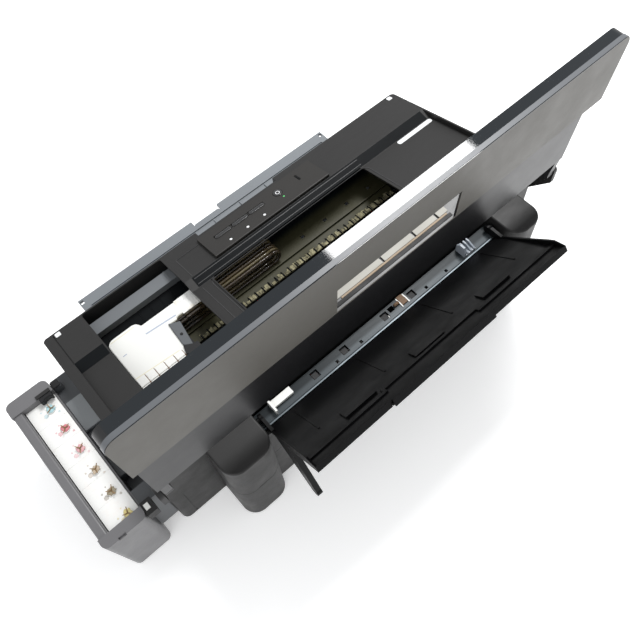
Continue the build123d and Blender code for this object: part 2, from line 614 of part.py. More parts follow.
def make_edge_guide():
    """Sliding edge guide with a slanted fence and stiffening fins."""
    x, y, z = lbox_x1 + 57, slot_plate + 1, plate_z + gap
    guide = block(x - 20, x, y, y + 15.5, z, z + 2.2)
    guide += prism([(y, z + 2), (y + 15.5, z + 2), (y + 15.5, z + 8), (y + 12, z + 16), (y + 5, z + 16),
                    (y, z + 11)], x - 3, x)
    for k in range(3):
        xf = x - 7 - 5.5 * k
        guide += prism([(y, z + 2), (y + 15, z + 2), (y + 15, z + 4), (y + 5, z + 8), (y, z + 8)],
                       xf - 1, xf + 1)
    return guide


# Output tray
def make_output_tray():
    x0, x1 = tray_x0, tray_x1
    y0, z, high = tray_y0, tray_z, tray_z + tray_t
    tray = block(x0, x1, y0, tray_y1, z, high)
    tray -= block(x0 + 12, x1 - 12, y0 + 18, tray_y1 - 6, z + 3, high + 1)
    for k in range(tray_grooves + 1):
        x = x0 + 34 + k * (x1 - x0 - 68) / tray_grooves
        tray += block(x - 1, x + 1, y0 + 20, tray_y1 - 8, z + 2, high)
    # finger notch with its lip, and the slots at the front corners
    x = (x0 + x1) / 2 + 4.5
    tray -= rounded(x - 24.5, x + 24.5, y0 - 20, y0 + 12.5, 4, z - 1, high + 1)
    tray += rounded(x - 23.5, x + 23.5, y0 + 6, y0 + 16, 3, z, z + 2.4)
    for x in (x1 - 4.5, x0 + 4.5):
        tray -= block(x - 2.6, x + 2.6, y0 + 3, y0 + 9, z - 1, high + 1)
    return tray


# Print mechanism
def make_main_frame():
    """Folded steel frame: two side plates, a floor and a rear plate with a slot for the film."""
    z0, top_z, tf = frame_z, frame_top, frame_t
    frame = block(-rail_x - tf, rail_x + tf, frame_back, frame_back + tf, z0, top_z)
    frame -= block(film_x0 - 6, film_x1 + 6, frame_back - 1, frame_back + tf + 1, film_z - 6, film_z + 9)
    frame += block(-rail_x, rail_x, plat_y0 - 3.5, frame_back, z0, z0 + tf)
    gears = gear_place()
    for side in (-1, 1):
        x0, x1 = sorted((side * rail_x, side * (rail_x + tf)))
        plate = prism([(front_y - 0.5, rail_low - 4), (front_y - 0.5, rail_top + 1), (34, rail_top + 1),
                       (60, rail_top + 4), (plat_y0, top_z), (frame_back + 1, top_z), (frame_back + 1, z0),
                       (60, z0), (34, rail_low - 4)], x0, x1)
        plate -= rod(rod_y, rod_z, rod_r, x0 - 1, x1 + 1)
        plate -= rod(roll_y, roll_z, roll_axle + hinge_gap, x0 - 1, x1 + 1)
        plate -= rod(gears["eject"][0], roll_z, eject_axle + hinge_gap, x0 - 1, x1 + 1)
        if side > 0:
            plate -= tube_mouth(x0 - 1, x1 + 1)
        else:
            plate -= rod(*gears["pinion"][:2], 4, x0 - 1, x1 + 1)
        frame += plate
        for y in tab_ys:
            frame += block(*sorted((side * rail_x, side * (rail_x + tab_l))), y - tab_w / 2, y + tab_w / 2,
                           z0, z0 + tf)
    # stub axle of the idler gear, motor shelf and idler pulley post
    frame += rod(*gears["idler"][:2], idler_axle, gear_x + 0.5, -rail_x)
    shelf = belt_z + belt_w / 2 + 3.6
    right = block(pulley_x - motor_r, pulley_x + motor_r, belt_y - motor_r, frame_back + 0.5,
                  shelf, shelf + tf)
    frame += right - post(pulley_x, belt_y, pulley_bore + 0.2, shelf - 1, shelf + 3)
    low = belt_z - 11
    frame += block(-pulley_x - 12, -pulley_x + 12, belt_y - 10, frame_back + 0.5, low, low + tf)
    return frame + post(-pulley_x, belt_y, pulley_bore, low + 1, belt_z + belt_w / 2 + 3)


def make_front_rail():
    """Light grey folded rail under the front strip, seen through the carriage window."""
    y0, y1, z0, z1, t = front_y, front_y + 18.5, rail_low, rail_top, 1.4
    rail = prism([(y0, z0), (y0, z1), (y1, z1), (y1, z0 + 8), (y1 - t, z0 + 8), (y1 - t, z1 - t),
                  (y0 + t, z1 - t), (y0 + t, z0)], -rail_x, rail_x)
    x = window_x0 + 5.5
    return rail + block(x - 1.5, x + 1.5, y0, y1, z1 - 0.1, z1 + 1)


def make_guide_rod():
    return rod(rod_y, rod_z, rod_r, -rail_x - frame_t, rail_x + frame_t)


def make_carriage():
    x0, x1 = car_x0, car_x1
    low, back = 110, car_top + 4
    body = prism([(car_front + 6, low), (car_front + 6, car_top - 4), (car_front + 10, car_top),
                  (cell_y, car_top), (cell_y, car_top - car_step), (cell_y + cell_d, car_top - car_step),
                  (cell_y + cell_d, back), (car_back - 3, back), (car_back, car_top), (car_back, 106),
                  (rod_y - 10, 104), (head_y0 - 4, 104), (head_y0 - 10, low)], x0, x1)
    # the front shoulder on the home side stands forward with round corners
    body += rounded(x1 - 46, x1, car_front, car_front + 40, 10, low, car_top)
    # covered channel where the ink tubes run in from the side
    ribbon = tube_pitch * tube_n / 2 + 1
    body -= block(x0 - 1, tube_end + gap, tube_y - ribbon, tube_y + ribbon,
                  tube_high - tube_d / 2 - 1, tube_high + tube_d / 2 + 0.6)
    body -= block(x0 + 8, x0 + 53, car_front + 41.5, car_front + 43.8, car_top - 3, car_top + 1)
    body -= rod(rod_y, rod_z, rod_r + hinge_gap, x0 - 1, x1 + 1)
    body -= block(x0 + 8, x1 - 8, head_y0 - 0.2, head_y1 + 0.2, 100, 112)
    # clip that holds the belt
    y = belt_y - pulley_r - belt_t / 2
    a, b = x0 + clip_x, x0 + clip_x + clip_w
    clip = block(a, b, car_back - 1, y + 3, belt_z - 6, belt_z + 6)
    clip -= block(a - 1, b + 1, y - belt_t / 2 - gap, y + belt_t / 2 + gap, belt_z - belt_w / 2 - gap,
                  belt_z + belt_w / 2 + gap)
    return body + clip


def make_ink_joints():
    """Five small ink reservoirs side by side behind the lid, and the cover of the sixth joint."""
    low, high = car_top - car_step, car_top + 0.9
    out = []
    for k in range(joint_n):
        xb = car_x1 - k * joint_pitch
        cell = block(xb - joint_pitch + 0.6, xb - 0.1, cell_y, cell_y + cell_d - 0.4, low, high)
        cell += block(xb - joint_pitch + 0.6, xb - 0.1, lid_y, cell_y + 0.5, car_top, high)
        out.append(cell)
    x0, x1 = car_x0 + 16, car_x0 + 28
    b = block(x0, x1, lid_y - 19.5, cell_y + 0.5, car_top, car_top + 2.4)
    b += block(x0, x1, cell_y, cell_y + cell_d - 1, low, car_top + 2.4)
    return out + [b - post(car_x0 + 22, lid_y - 11.5, 1.2, car_top + 1, car_top + 5)]


def make_print_head():
    head = block(car_x0 + 8.3, car_x1 - 8.3, head_y0, head_y1, head_z + 1.2, 112)
    head += block(car_x0 + 14, car_x1 - 14, head_y0 + 3, head_y1 - 3, head_z, head_z + 2)
    for k in range(tube_n):
        x = car_x0 + 22 + k * 11
        head -= block(x - 0.6, x + 0.6, head_y0 + 6, head_y1 - 6, head_z - 1, head_z + 0.5)
    return head


def make_timing_belt():
    """Closed racetrack band about the two pulley axes."""
    plan = Pos(0, belt_y) * SlotCenterToCenter(2 * pulley_x, 2 * (pulley_r + belt_t))
    hole = Pos(0, belt_y) * SlotCenterToCenter(2 * pulley_x, 2 * pulley_r + 0.1)
    return extrude(Pos(0, 0, belt_z - belt_w / 2) * (plan - hole), amount=belt_w)


def make_pulley(x):
    flange, core = pulley_r + 2.0, pulley_r - 0.05
    z0, z1 = belt_z - belt_w / 2 - 0.4, belt_z + belt_w / 2 + 0.4
    p = post(x, belt_y, core, z0, z1, sides_l)
    p += post(x, belt_y, flange, z1, z1 + 1.2, sides_l)
    p += post(x, belt_y, flange, z0 - 1.2, z0, sides_l)
    return p - post(x, belt_y, pulley_bore + hinge_gap, z0 - 9, z1 + 9)


def make_carriage_motor():
    low = belt_z + belt_w / 2 + 3.6 + frame_t
    motor = post(pulley_x, belt_y, motor_r, low, low + motor_h)
    return motor + post(pulley_x, belt_y, pulley_bore, belt_z - belt_w / 2 - 1, low + 1)


def make_encoder_strip():
    return block(-rail_x, rail_x, deck_back - 1.2, deck_back - 0.8, belt_z - 8.8, belt_z + 1)


def make_tube_tray():
    """Shallow black channel that carries the lower run of the ink tubes."""
    x0, x1 = -rail_x + 74, rail_x
    y0, y1 = tube_y - 27, tray_end
    z = tube_low - tube_d / 2 - 0.3
    tray = prism([(y0, z - 2), (y0, z + 8), (y0 + 1.6, z + 8), (y0 + 1.6, z), (y1 - 1.6, z),
                  (y1 - 1.6, z + 4), (y1, z + 4), (y1, z - 2)], x0, x1)
    for k in range(4):
        x = bay_x0 - 6 + 42 * k
        tray -= block(x - 3, x + 3, tube_y + 3, tube_y + 8, z - 10, z + 10)
    return tray


def tube_path(y):
    """Lower run, half turn and upper run into the carriage."""
    zl, r, x = tube_low, tube_bend, tube_x
    low = Line((tank_x0 + 2.3, y, zl), (x, y, zl))
    turn = ThreePointArc((x, y, zl), (x - r, y, zl + r), (x, y, tube_high))
    high = Line((x, y, tube_high), (tube_end, y, tube_high))
    return Wire([low, turn, high])


def make_ink_tubes():
    tubes = []
    for k in range(tube_n):
        y = tube_y + (k - (tube_n - 1) / 2) * tube_pitch
        start = Plane(origin=(tank_x0 + 2.3, y, tube_low), z_dir=(-1, 0, 0))
        tubes.append(sweep(start * RegularPolygon(tube_d / 2, 8), path=tube_path(y)))
    return tubes


def make_platen():
    y0, y1, z = plat_y0, plat_y1, film_z
    base = block(plat_x0, plat_x1, y0, y1, z - 13, z - 7)
    base += block(plat_x0, plat_x1 + ledge_w, y0, y0 + 2, z - 13, z - 3)
    base += block(plat_x0, plat_x1, y1 - 2, y1, z - 13, z - 3)
    half = rib_t / 2
    for k in range(rib_n + 1):
        x = plat_x0 + half + k * (plat_x1 - plat_x0 - rib_t) / rib_n
        base += prism([(y0, z - 8), (y0, z - 1.5), (y0 + 2, z), (y1 - 14, z), (y1 - 8, z - 2), (y1, z - 8)],
                      x - half, x + half)
    for x in (plat_x0, plat_x1 - rib_t):
        base += block(x, x + rib_t, y0, y1, frame_z + frame_t, z - 7)
    return base


def make_platen_foam():
    """Blocks of absorbing felt between the ribs, cut to uneven heights."""
    out = []
    w = (plat_x1 - plat_x0 - rib_t) / rib_n
    for k in range(rib_n):
        x = plat_x0 + rib_t / 2 + k * w
        out.append(block(x + rib_t / 2 + 0.15, x + w - rib_t / 2 - 0.15, plat_y0 + 2.1, plat_y1 - 2.1,
                         film_z - 7, film_z - 2.4 - (k % 3) * 0.4))
    return out


def make_film_roller():
    """Coated roller that moves the film, with its gear on the far end."""
    y, z, r = gear_place()["film"]
    roller = rod(y, z, roll_r, plat_x0, plat_x1 + ledge_w) + rod(y, z, roll_axle, gear_x - 1, rail_x + 3)
    return roller + spur(gear_x, y, z, r, film_teeth, gear_w)


def eject_xs():
    """Centres of the rubber rollers at the exit."""
    step = (plat_x1 - plat_x0 - 62) / (eject_n - 1)
    return [plat_x0 + 32 + k * step for k in range(eject_n)]


def make_eject_roller():
    y, z, rg = gear_place()["eject"]
    r = rod(y, z, eject_axle, gear_x - 1, rail_x + 3)
    for x in eject_xs():
        r += rod(y, z, eject_r, x - 5, x + 5, sides_l)
    return r + spur(gear_x, y, z, rg, eject_teeth, gear_w)


def make_star_wheels():
    """Bar that holds the film down at the exit, carried on the platen's front edge."""
    bar_z = film_z + 2.4
    y = gear_place()["eject"][0]
    x1 = plat_x1 + ledge_w
    holder = block(plat_x0, x1, tray_end, plat_y0 - 1.6, bar_z, bar_z + 2.8)
    for x in (plat_x0, x1 - rib_t):
        holder += block(x, x + rib_t, plat_y0 - 4, plat_y0, film_z - 12, bar_z + 2.8)
    for x in eject_xs():
        for dx in (-6, 4.6):
            holder += block(x + dx, x + dx + 1.4, y - 3, y + 3, film_z + 1.4, bar_z + 1)
    return holder


def make_pinch_rollers():
    """Four sprung plates with small rollers that press the film on the film roller."""
    out = []
    zc = roll_z + roll_r + 3.3
    pitch = (film_x1 - film_x0 + 6) / 4
    for k in range(4):
        x0 = film_x0 + k * pitch
        plate = prism([(roll_y - 6, zc + 3.5), (frame_back, film_z + 10), (frame_back, film_z + 12),
                       (roll_y - 7, zc + 5.5)], x0, x0 + pitch - 4)
        for xa in (x0 + 10, x0 + pitch - 32):
            plate += rod(roll_y, zc, 3, xa, xa + 18, sides_s)
            for xb in (xa - 1, xa + 17):
                plate += block(xb, xb + 2, roll_y - 2, roll_y + 2, zc, zc + 6)
        out.append(plate)
    return out


def spur(x, y, z, r, n, w, phase=0.0):
    """Small spur gear about an axis along X, with straight-sided teeth."""
    module = 2 * r / n
    ra, rf = r + 0.9 * module, r - 1.1 * module
    pts = []
    for k in range(n):
        for da, rr in ((-0.34, rf), (-0.10, ra), (0.10, ra), (0.34, rf)):
            a = 2 * pi * (k + phase + da) / n
            pts.append((y + rr * cos(a), z + rr * sin(a)))
    return prism(pts, x, x + w)


def make_idler_gear():
    y, z, r = gear_place()["idler"]
    gear = spur(gear_x, y, z, r, idler_teeth, gear_w, 0.5)
    return gear - rod(y, z, idler_axle + hinge_gap, gear_x - 1, gear_x + gear_w + 1)


def make_motor_pinion():
    y, z, r = gear_place()["pinion"]
    return spur(gear_x, y, z, r, pinion_teeth, gear_w) + rod(y, z, 1.5, gear_x + 1, -rail_x + 15)


def make_film_motor():
    y, z = gear_place()["pinion"][:2]
    return rod(y, z, 12, -rail_x, -rail_x + 38) - rod(y, z, 1.5 + hinge_gap, -rail_x - 1, -rail_x + 16)


def make_electronics():
    """Power supply box and main board on the floor of the case."""
    floor = foot_h + wall
    low = floor + 6
    x0, x1, y0, y1 = half_w - 143, half_w - 40, body_d - 112, body_d - 16
    b = block(x0, x1, y0, y1, low, low + 1.6)
    for x, y, w, h in ((20, 20, 24, 6), (60, 26, 30, 10), (85, 65, 18, 8), (40, 75, 30, 5)):
        b += block(x0 + x - w / 2, x0 + x + w / 2, y0 + y - 10, y0 + y + 10, low + 1.6, low + 1.6 + h)
    for x in (x0 + 5, x1 - 5):
        for y in (y0 + 5, y1 - 5):
            b += post(x, y, 3, floor, low, sides_s)
    return [block(-half_w + 46, -half_w + 118, y0, y1 - 21, floor, floor + 32), b]


def make_cap_unit():
    """Rubber-lipped cup that seals the print head at its home place."""
    x0, x1, y0, y1 = cap_x0, cap_x1, head_y0 + 1, head_y1 - 1
    z = head_z - 0.5
    cup = block(x0, x1, y0, y1, z - cap_h, z - 4)
    return cup + block(x0 + 1, x1 - 1, y0 + 1, y1 - 1, z - 4, z) - block(
        x0 + 3, x1 - 3, y0 + 3, y1 - 3, z - 6, z + 1)


def make_service_station():
    """Holder whose two walls guide the cup, and the wiper blade beside it."""
    x0, x1 = cap_x0 - 0.35, cap_x1 + 0.35
    z = frame_z + frame_t
    s = block(x0 - 3, x1 + 3, head_y0 - 4, head_y1 + 4, z, z + 8)
    for xa in (x0 - 3, x1):
        s += block(xa, xa + 3, head_y0 - 2, head_y1 + 2, z + 7, head_z - 12)
    x = car_x0 + 4.5
    wiper = block(x - 2.5, x + 2.5, head_y0, head_y1, z, head_z - 14)
    wiper += block(x - 0.7, x + 0.7, head_y0 + 2, head_y1 - 2, head_z - 15, head_z - 1.2)
    return [s, wiper]


def make_rear_sockets():
    x = -half_w + inlet_x
    half, z0, z1 = inlet_w / 2 - 0.4, inlet_z0 + 0.4, inlet_z1 - 0.4
    inlet = block(x - half, x + half, body_d - 14, body_d, z0, z1)
    inlet -= block(x - half + 3.6, x + half - 3.6, body_d - 10, body_d + 1, z0 + 3.6, z1 - 3.6)
    for xa in (x - 6, x + 6):
        inlet += block(xa - 1, xa + 1, body_d - 11, body_d - 2, inlet_z0 + 10, inlet_z0 + 14)
    return inlet


# Ink tank unit
def make_tank_case():
    """Open-topped case: tapered walls and two capped ends."""
    x0, x1, y0, y1 = tank_x0, tank_x1, tank_y0, tank_y1
    taper = 5.0
    low = Pos((x0 + x1) / 2, (y0 + y1) / 2, foot_h) * RectangleRounded(x1 - x0 - 2, y1 - y0 - 2 * taper, 8)
    high = Pos((x0 + x1) / 2, (y0 + y1) / 2, tank_z) * RectangleRounded(x1 - x0, y1 - y0, 8)
    case = loft([low, high])
    t = tank_t
    ya, yb = y0 + cap_front, y1 - cap_back
    case -= block(x0 + t, x1 - t, ya, yb, foot_h + t + 1, tank_z + 1)
    case -= block(x1 - t - 1, x1 + 5, ya, yb, tank_z - rail_h - 2, tank_z + 1)
    case -= block(x0 - 1, x0 + t + 1, ya, yb, tank_z - 12, tank_z + 1)
    case -= block(x0 + 28, x0 + 37.6, y1 - 2.6, y1 + 2, tank_z - 4, tank_z + 1)     # finger slot
    # manifold inside the body-side wall, and the mouth where the tubes reach it
    case += block(x0 + t, manifold_x, ya, yb, tube_low - 6, tube_low + 6)
    return case - tube_mouth(x0 - 1, x0 + 2.3)


def make_tank_rail():
    """Rounded outer rail between the two end caps."""
    x0, x1 = tank_x1 - rail_w - 1, tank_x1 - 0.6
    y0, y1 = tank_y0 + cap_front, tank_y1 - cap_back
    rail = block(x0, x1, y0, y1, tank_z - rail_h - 2, tank_z - 2)
    return fillet(rail.edges().filter_by(Axis.Y).group_by(Axis.Z)[-1], 3.4)


def make_ink_tanks():
    out = []
    first = tank_y0 + cap_front
    span = (tank_y1 - cap_back - first) / tank_n
    x0, x1 = tank_x0 + tank_t + 0.4, tank_x1 - rail_w - 2
    low = foot_h + tank_t + 1
    for k in range(tank_n):
        y0, y1 = first + k * span + 0.3, first + (k + 1) * span - 0.3
        body = block(x0, x1, y0, y1, low, neck_z - 2)
        body -= block(x0 - 1, manifold_x + 0.3, y0 - 1, y1 + 1, low - 1, tube_low + 8)
        body += post(fill_x, fill_y(k), neck_r, neck_z - 3, neck_z, sides_m)
        body -= post(fill_x, fill_y(k), plug_r + 0.1, neck_z - 10, neck_z + 2, sides_s)
        out.append(body)
    return out


def fill_y(k):
    """Place of filler neck k along the tank unit."""
    return tank_y0 + tank_first + k * tank_pitch


def make_tank_plug(k):
    """Rubber plug with a three-armed pull tab."""
    y = fill_y(k)
    z = neck_z + 0.1
    plug = post(fill_x, y, plug_r, z - 8, z, sides_s) + post(fill_x, y, neck_r - 0.2, z, z + 2, sides_s)
    for a in (30, 150, 270):
        plug += Pos(fill_x, y, z + 2.6) * Rot(0, 0, a) * Pos(3.6, 0, 0) * Box(7.2, 1.8, 1.6)
    return plug


def make_tank_bridge():
    """Filler between the body and the tank unit, in steps."""
    x0, x1, y = half_w, tank_x0, tank_y0
    part = None
    for y0, y1, z in ((-4, 34, 118), (34, 84, 121), (84, 155, 116), (155, 182, 96), (182, 204, 128)):
        step = block(x0, x1, y + y0, y + y1, 30, z)
        part = step if part is None else part + step
    part -= tube_mouth(x0 - 1, x1 + 1)
    return part + block(x1 - 10.5, x1, y + 5, y + 16, 117, 130)


def make_tank_latch():
    """Black catch at the rear corner and the lever block at the front end."""
    x, y = tank_x0 - 5.5, tank_y1 - 10
    catch = block(x - 7.5, tank_x0 - 0.2, y - 8, y + 10, 122, tank_z - 1.6)
    catch -= block(x - 3.1, x + 3.1, y - 3.8, y + 4.2, tank_z - 6.6, tank_z)
    lever = block(tank_x0 + 2.4, tank_x0 + 21.4, tank_y0 + cap_front - 5, tank_y0 + cap_front - 0.4,
                  tank_z, tank_z + 1.6)
    return [catch, lever]


def make_latch_button():
    x, y = tank_x0 - 5.5, tank_y1 - 10
    return block(x - 2.9, x + 2.9, y - 3.6, y + 4.0, tank_z - 4, tank_z - 0.8)


parts = {
    "base_case": make_base_case, "case_ribs": make_case_ribs,
    "upper_housing": make_upper_housing, "rear_housing": make_rear_housing,
    "inlays": make_inlays, "feet": make_feet, "rear_sockets": make_rear_sockets,
    "control_panel": make_control_panel, "power_button": make_power_button,
    "button_right": lambda: make_button(button_xs[0]), "button_middle": lambda: make_button(button_xs[1]),
    "button_left": lambda: make_button(button_xs[2]),
    "cover": make_cover, "cover_bead": lambda: make_bead(0.03),
    "paper_support": make_paper_support, "support_extension": make_support_extension,
    "feed_plate": make_feed_plate, "feed_shaft": make_feed_shaft, "feed_tyres": make_feed_tyres,
    "separator_pad": make_separator_pad, "right_guide": make_right_guide, "edge_guide": make_edge_guide,
    "output_tray": make_output_tray, "main_frame": make_main_frame, "front_rail": make_front_rail,
    "guide_rod": make_guide_rod, "carriage": make_carriage, "ink_joints": make_ink_joints,
    "print_head": make_print_head, "timing_belt": make_timing_belt,
    "drive_pulley": lambda: make_pulley(pulley_x), "idler_pulley": lambda: make_pulley(-pulley_x),
    "carriage_motor": make_carriage_motor, "encoder_strip": make_encoder_strip,
    "tube_tray": make_tube_tray, "ink_tubes": make_ink_tubes, "platen": make_platen,
    "platen_foam": make_platen_foam, "film_roller": make_film_roller, "eject_roller": make_eject_roller,
    "idler_gear": make_idler_gear, "motor_pinion": make_motor_pinion, "film_motor": make_film_motor,
    "star_wheels": make_star_wheels, "pinch_rollers": make_pinch_rollers,
    "electronics": make_electronics, "cap_unit": make_cap_unit,
    "service_station": make_service_station, "tank_case": make_tank_case,
    "tank_rail": make_tank_rail, "ink_tanks": make_ink_tanks, "tank_bridge": make_tank_bridge,
    "tank_latch": make_tank_latch, "latch_button": make_latch_button,
}
for k in range(tank_n):
    parts[f"tank_plug_{k + 1}"] = lambda k=k: make_tank_plug(k)


def main():
    built = {}
    for name, make in parts.items():
        shape = make()
        solids = []
        for piece in shape if isinstance(shape, list) else [shape]:
            solids += list(piece.solids())
        built[name] = solids
    boxes = [s.bounding_box() for solids in built.values() for s in solids]
    x0, x1 = min(b.min.X for b in boxes), max(b.max.X for b in boxes)
    y0, y1 = min(b.min.Y for b in boxes), max(b.max.Y for b in boxes)
    z1 = max(b.max.Z for b in boxes)
    dx, dy = (x0 + x1) / 2, (y0 + y1) / 2
    for name, solids in built.items():
        moved = [s.moved(Location((-dx, -dy, 0))) for s in solids]
        export_step(moved[0] if len(moved) == 1 else Compound(children=moved), f"parts/{name}.step")
        print(f"{name:20s} solids {len(moved)} volume {sum(s.volume for s in moved) / 1000:9.1f} cm3")
    print("origin at working-frame x, y:", round(dx, 3), round(dy, 3))
    print("size", round(x1 - x0, 2), round(y1 - y0, 2), round(z1, 2))


main()
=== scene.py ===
# Studio scene of the direct-to-film printer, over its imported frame. Metres.
import bpy
import bmesh
import json
import random
from math import sin, cos, pi, radians
from mathutils import Matrix, Vector


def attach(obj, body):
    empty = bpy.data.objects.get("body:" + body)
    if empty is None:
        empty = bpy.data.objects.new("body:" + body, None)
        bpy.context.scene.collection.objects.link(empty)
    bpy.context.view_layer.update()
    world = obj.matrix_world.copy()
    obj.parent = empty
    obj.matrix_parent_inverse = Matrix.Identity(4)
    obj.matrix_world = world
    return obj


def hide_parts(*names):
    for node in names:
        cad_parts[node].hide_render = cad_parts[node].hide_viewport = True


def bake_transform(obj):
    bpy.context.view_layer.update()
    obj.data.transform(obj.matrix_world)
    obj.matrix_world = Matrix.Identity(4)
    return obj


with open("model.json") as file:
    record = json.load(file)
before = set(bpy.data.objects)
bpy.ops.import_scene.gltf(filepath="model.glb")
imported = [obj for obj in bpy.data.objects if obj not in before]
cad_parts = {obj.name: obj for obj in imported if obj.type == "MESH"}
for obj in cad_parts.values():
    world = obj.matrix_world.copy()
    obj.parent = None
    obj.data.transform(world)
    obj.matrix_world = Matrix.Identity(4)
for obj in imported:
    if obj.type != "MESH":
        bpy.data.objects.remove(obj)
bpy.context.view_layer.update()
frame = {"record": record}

DX, DY = 0.040, 0.154392          # working frame's origin in the row frame
SLOPE, FRONT_Z = 0.235, 133.0     # rise of the sloping top, and its height at the front edge
STRIP_D, BAND_D, RECESS = 64.0, 16.0, 8.0     # front strip, sloping band, drop of the deck behind
HINGE_Y, HINGE_Z, LEAN = 283.0, 203.8, radians(2.4)     # cover's pins, and its lean when open


def at(x, y, z):
    """Working-frame millimetres to row-frame metres."""
    return Vector((x / 1000 - DX, y / 1000 - DY, z / 1000))


# Materials
def new_material(name):
    m = bpy.data.materials.new(name)
    m.use_nodes = True
    nt = m.node_tree
    nt.nodes.clear()
    out = nt.nodes.new("ShaderNodeOutputMaterial")
    b = nt.nodes.new("ShaderNodeBsdfPrincipled")
    nt.links.new(b.outputs[0], out.inputs[0])
    return m, nt, b


def noise(nt, scale, detail=2.0, rough=0.5, stretch=None):
    coord = nt.nodes.new("ShaderNodeTexCoord")
    n = nt.nodes.new("ShaderNodeTexNoise")
    n.inputs["Scale"].default_value = scale
    n.inputs["Detail"].default_value = detail
    n.inputs["Roughness"].default_value = rough
    if stretch:
        mp = nt.nodes.new("ShaderNodeMapping")
        mp.inputs["Scale"].default_value = stretch
        nt.links.new(coord.outputs["Object"], mp.inputs["Vector"])
        nt.links.new(mp.outputs[0], n.inputs["Vector"])
    else:
        nt.links.new(coord.outputs["Object"], n.inputs["Vector"])
    return n


def ramp(nt, src, lo, hi, a=0.3, b=0.7):
    r = nt.nodes.new("ShaderNodeMapRange")
    r.inputs["From Min"].default_value = a
    r.inputs["From Max"].default_value = b
    r.inputs["To Min"].default_value = lo
    r.inputs["To Max"].default_value = hi
    nt.links.new(src, r.inputs["Value"])
    return r.outputs[0]


def mix_color(nt, fac, c1, c2):
    m = nt.nodes.new("ShaderNodeMix")
    m.data_type = "RGBA"
    m.inputs[6].default_value = (*c1, 1)
    m.inputs[7].default_value = (*c2, 1)
    nt.links.new(fac, m.inputs[0])
    return m.outputs[2]


def bump(nt, b, height, strength, distance):
    n = nt.nodes.new("ShaderNodeBump")
    n.inputs["Strength"].default_value = strength
    n.inputs["Distance"].default_value = distance
    nt.links.new(height, n.inputs["Height"])
    nt.links.new(n.outputs[0], b.inputs["Normal"])


def plastic(name, color, rough=0.45, grain=900.0, grain_bump=0.25, vary=0.12, coat=0.0, spec=0.5,
            smudge=0.0):
    """Moulded plastic: spark-eroded grain, slow colour drift and smudges in the gloss."""
    m, nt, b = new_material(name)
    slow = noise(nt, 14.0, 3.0)
    dark = [c * (1 - vary) for c in color]
    light = [min(1, c * (1 + vary)) for c in color]
    nt.links.new(mix_color(nt, slow.outputs[0], dark, light), b.inputs["Base Color"])
    wipe = noise(nt, 30.0, 4.0, 0.6, (1, 3, 1))
    nt.links.new(ramp(nt, wipe.outputs[0], rough - smudge, rough + smudge + 0.04), b.inputs["Roughness"])
    b.inputs["Coat Weight"].default_value = coat
    b.inputs["Coat Roughness"].default_value = 0.08
    b.inputs["Specular IOR Level"].default_value = spec
    if grain_bump:
        g = noise(nt, grain, 2.0)
        bump(nt, b, g.outputs[0], grain_bump, 0.0002)
    return m


def metal(name, color, rough=0.3, brush=(1, 60, 60), strength=0.08):
    m, nt, b = new_material(name)
    slow = noise(nt, 20.0, 3.0)
    dull = [c * 0.85 for c in color]
    nt.links.new(mix_color(nt, slow.outputs[0], dull, color), b.inputs["Base Color"])
    b.inputs["Metallic"].default_value = 1.0
    g = noise(nt, 40.0, 3.0, 0.6, brush)
    nt.links.new(ramp(nt, g.outputs[0], rough - 0.08, rough + 0.12), b.inputs["Roughness"])
    bump(nt, b, g.outputs[0], strength, 0.0002)
    return m


def rubber(name, color, rough=0.65):
    m, nt, b = new_material(name)
    slow = noise(nt, 60.0, 3.0)
    dull = [c * 0.8 for c in color]
    nt.links.new(mix_color(nt, slow.outputs[0], dull, color), b.inputs["Base Color"])
    b.inputs["Roughness"].default_value = rough
    b.inputs["Subsurface Weight"].default_value = 0.05
    g = noise(nt, 1500.0, 2.0)
    bump(nt, b, g.outputs[0], 0.2, 0.0002)
    return m


def clear_tube(name, color, ink):
    m, nt, b = new_material(name)
    slow = noise(nt, 90.0, 2.0, 0.5, (0.15, 1, 1))
    fac = ramp(nt, slow.outputs[0], 0, 1, 0.35, 0.65)
    nt.links.new(mix_color(nt, fac, color, ink), b.inputs["Base Color"])
    b.inputs["Roughness"].default_value = 0.18
    b.inputs["Transmission Weight"].default_value = 0.25
    b.inputs["Coat Weight"].default_value = 0.4
    g = noise(nt, 400.0, 2.0)
    bump(nt, b, g.outputs[0], 0.1, 0.0002)
    return m


def felt(name, color, stain):
    m, nt, b = new_material(name)
    f = noise(nt, 160.0, 4.0, 0.7)
    fac = ramp(nt, f.outputs[0], 0, 1, 0.35, 0.7)
    nt.links.new(mix_color(nt, fac, color, stain), b.inputs["Base Color"])
    b.inputs["Roughness"].default_value = 0.95
    g = noise(nt, 1800.0, 3.0, 0.7)
    bump(nt, b, g.outputs[0], 0.7, 0.0006)
    return m


def coordinate(nt, direction, origin):
    """Distance in millimetres along a direction from a working-frame point."""
    coord = nt.nodes.new("ShaderNodeTexCoord")
    dot = nt.nodes.new("ShaderNodeVectorMath")
    dot.operation = "DOT_PRODUCT"
    dot.inputs[1].default_value = [1000 * d for d in direction]
    nt.links.new(coord.outputs["Object"], dot.inputs[0])
    add = nt.nodes.new("ShaderNodeMath")
    add.operation = "SUBTRACT"
    add.inputs[1].default_value = 1000 * Vector(direction).dot(at(*origin))
    nt.links.new(dot.outputs["Value"], add.inputs[0])
    return add.outputs[0]


def mixed(nt, fac, a, b):
    """Mix of two shader colours, which may be sockets or plain values."""
    m = nt.nodes.new("ShaderNodeMix")
    m.data_type = "RGBA"
    nt.links.new(fac, m.inputs[0])
    for value, socket in ((a, m.inputs[6]), (b, m.inputs[7])):
        if isinstance(value, bpy.types.NodeSocket):
            nt.links.new(value, socket)
        else:
            socket.default_value = (*value, 1)
    return m.outputs[2]


